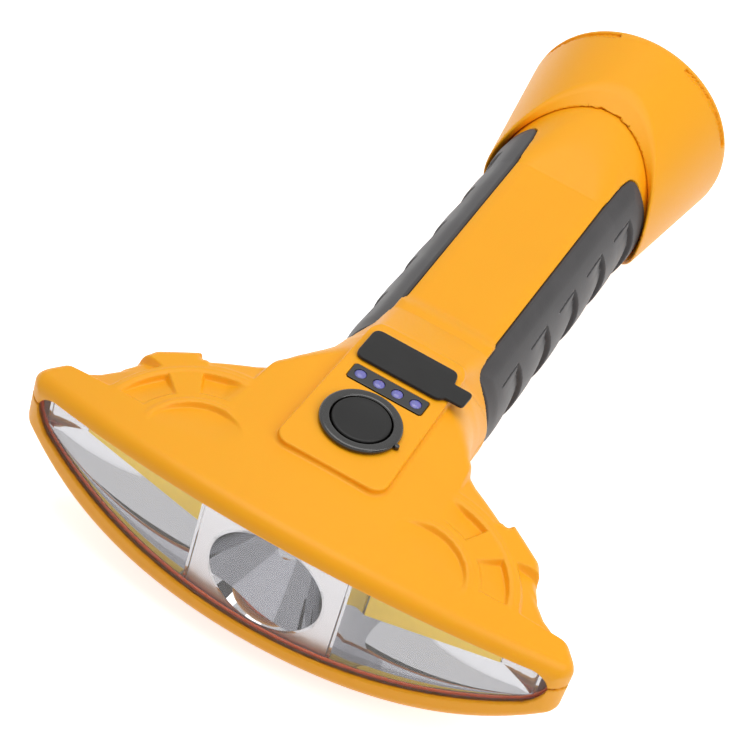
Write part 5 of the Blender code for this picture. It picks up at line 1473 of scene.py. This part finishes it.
class TORCH_OT_stage(bpy.types.Operator):
    """Makes the floor, the lamps and the camera"""

    bl_idname = "torch.stage"
    bl_label = "Stage"

    def execute(self, context):
        scene = context.scene
        studio = scene.torch_studio
        scene.view_settings.view_transform = "Standard"
        self.floor()
        self.world(scene, studio.sky)
        self.lamp("key_lamp", *KEY_LAMP, studio.key_power)
        self.lamp("top_lamp", *TOP_LAMP, studio.fill_power)
        for name, place, size in CARDS:
            self.card(name, place, size)
        self.camera(scene, studio)
        return {"FINISHED"}

    def floor(self):
        floor = linked("floor", square("floor", FLOOR_HALF))
        material, tree, place = new_material("white_paper_sweep")
        tone = spread_between(tree, noise(tree, place, 3.0), 0.93, 0.95, (0.0, 1.0))
        paper = add(tree, "ShaderNodeBsdfDiffuse", None, {"Color": tone})
        glow = add(tree, "ShaderNodeEmission", {"Color": (1, 1, 1, 1)})
        strength = add(tree, "ShaderNodeMath", {"operation": "MULTIPLY", 1: FLOOR_GLOW},
                       {0: direct_rays(tree)})
        tree.links.new(strength.outputs[0], glow.inputs["Strength"])
        both = add(tree, "ShaderNodeAddShader", None, {0: paper.outputs[0], 1: glow.outputs[0]})
        add(tree, "ShaderNodeOutputMaterial", None, {"Surface": both.outputs[0]})
        floor.data.materials.append(material)

    def world(self, scene, sky):
        world = bpy.data.worlds.new("white_studio")
        world.use_nodes = True
        scene.world = world
        tree = world.node_tree
        tree.nodes.clear()
        strength = spread_between(tree, direct_rays(tree), sky, 1.0, (0.0, 1.0))
        light = add(tree, "ShaderNodeBackground", {"Color": (1, 1, 1, 1)}, {"Strength": strength})
        add(tree, "ShaderNodeOutputWorld", None, {"Surface": light.outputs[0]})

    def lamp(self, name, place, size, power):
        data = bpy.data.lights.new(name, "AREA")
        data.shape = "DISK"
        data.size = size
        data.energy = power
        lamp = linked(name, data)
        lamp.location = place
        lamp.rotation_euler = (Vector(LAMP_TARGET) - Vector(place)).to_track_quat("-Z", "Y").to_euler()

    def card(self, name, place, size):
        """A dark card that only reflections see, for the dark patches in the polished pieces."""
        card = linked(name, square(name, size / 2 * MM))
        target = Vector(placed((0.0, REFLECTOR_Y, SPOT_Z)))
        card.location = Vector(placed(place))
        card.rotation_euler = (target - card.location).to_track_quat("-Z", "Y").to_euler()
        card.visible_camera = False
        card.visible_diffuse = False
        card.visible_shadow = False
        card.visible_transmission = False
        material, tree, place_node = new_material("black_card")
        tone = spread_between(tree, noise(tree, place_node, 4.0), 0.01, 0.02, (0.0, 1.0))
        paper = add(tree, "ShaderNodeBsdfDiffuse", None, {"Color": tone})
        add(tree, "ShaderNodeOutputMaterial", None, {"Surface": paper.outputs[0]})
        card.data.materials.append(material)

    def camera(self, scene, studio):
        """The camera looks at the point of the torch that lies in the middle of the photograph."""
        aim = Vector(placed(CAMERA_AIM))
        azimuth = studio.azimuth
        elevation = studio.elevation
        back = Vector((math.sin(azimuth) * math.cos(elevation), -math.cos(azimuth) * math.cos(elevation),
                       math.sin(elevation)))
        level = Vector((math.cos(azimuth), math.sin(azimuth), 0))
        upright = back.cross(level)
        right = level * math.cos(studio.roll) + upright * math.sin(studio.roll)
        up = back.cross(right)
        data = bpy.data.cameras.new("photo_camera")
        data.sensor_width = 36.0
        data.lens = studio.focal_length
        data.clip_end = 20.0
        camera = linked("photo_camera", data)
        turn = Matrix((right, up, back)).transposed().to_4x4()
        camera.matrix_world = Matrix.Translation(aim + back * studio.distance) @ turn
        scene.camera = camera


class TORCH_PT_panel(bpy.types.Panel):
    """Lists the steps that dress the torch"""

    bl_idname = "TORCH_PT_panel"
    bl_label = "Hand torch"
    bl_space_type = "VIEW_3D"
    bl_region_type = "UI"
    bl_category = "Torch"

    def draw(self, context):
        for step in STEPS:
            self.layout.operator(step.bl_idname)


STEPS = (
    TORCH_OT_materials,
    TORCH_OT_upper_housing,
    TORCH_OT_lower_housing,
    TORCH_OT_grips,
    TORCH_OT_tail,
    TORCH_OT_optics,
    TORCH_OT_window,
    TORCH_OT_controls,
    TORCH_OT_stage,
)
CLASSES = (TorchStudio,) + STEPS + (TORCH_PT_panel,)


def register():
    for item in CLASSES:
        bpy.utils.register_class(item)
    bpy.types.Scene.torch_studio = PointerProperty(type=TorchStudio)


def unregister():
    del bpy.types.Scene.torch_studio
    for item in reversed(CLASSES):
        bpy.utils.unregister_class(item)


def main():
    register()
    for step in STEPS:
        group, name = step.bl_idname.split(".")
        getattr(getattr(bpy.ops, group), name)()


if __name__ == "__main__":
    main()
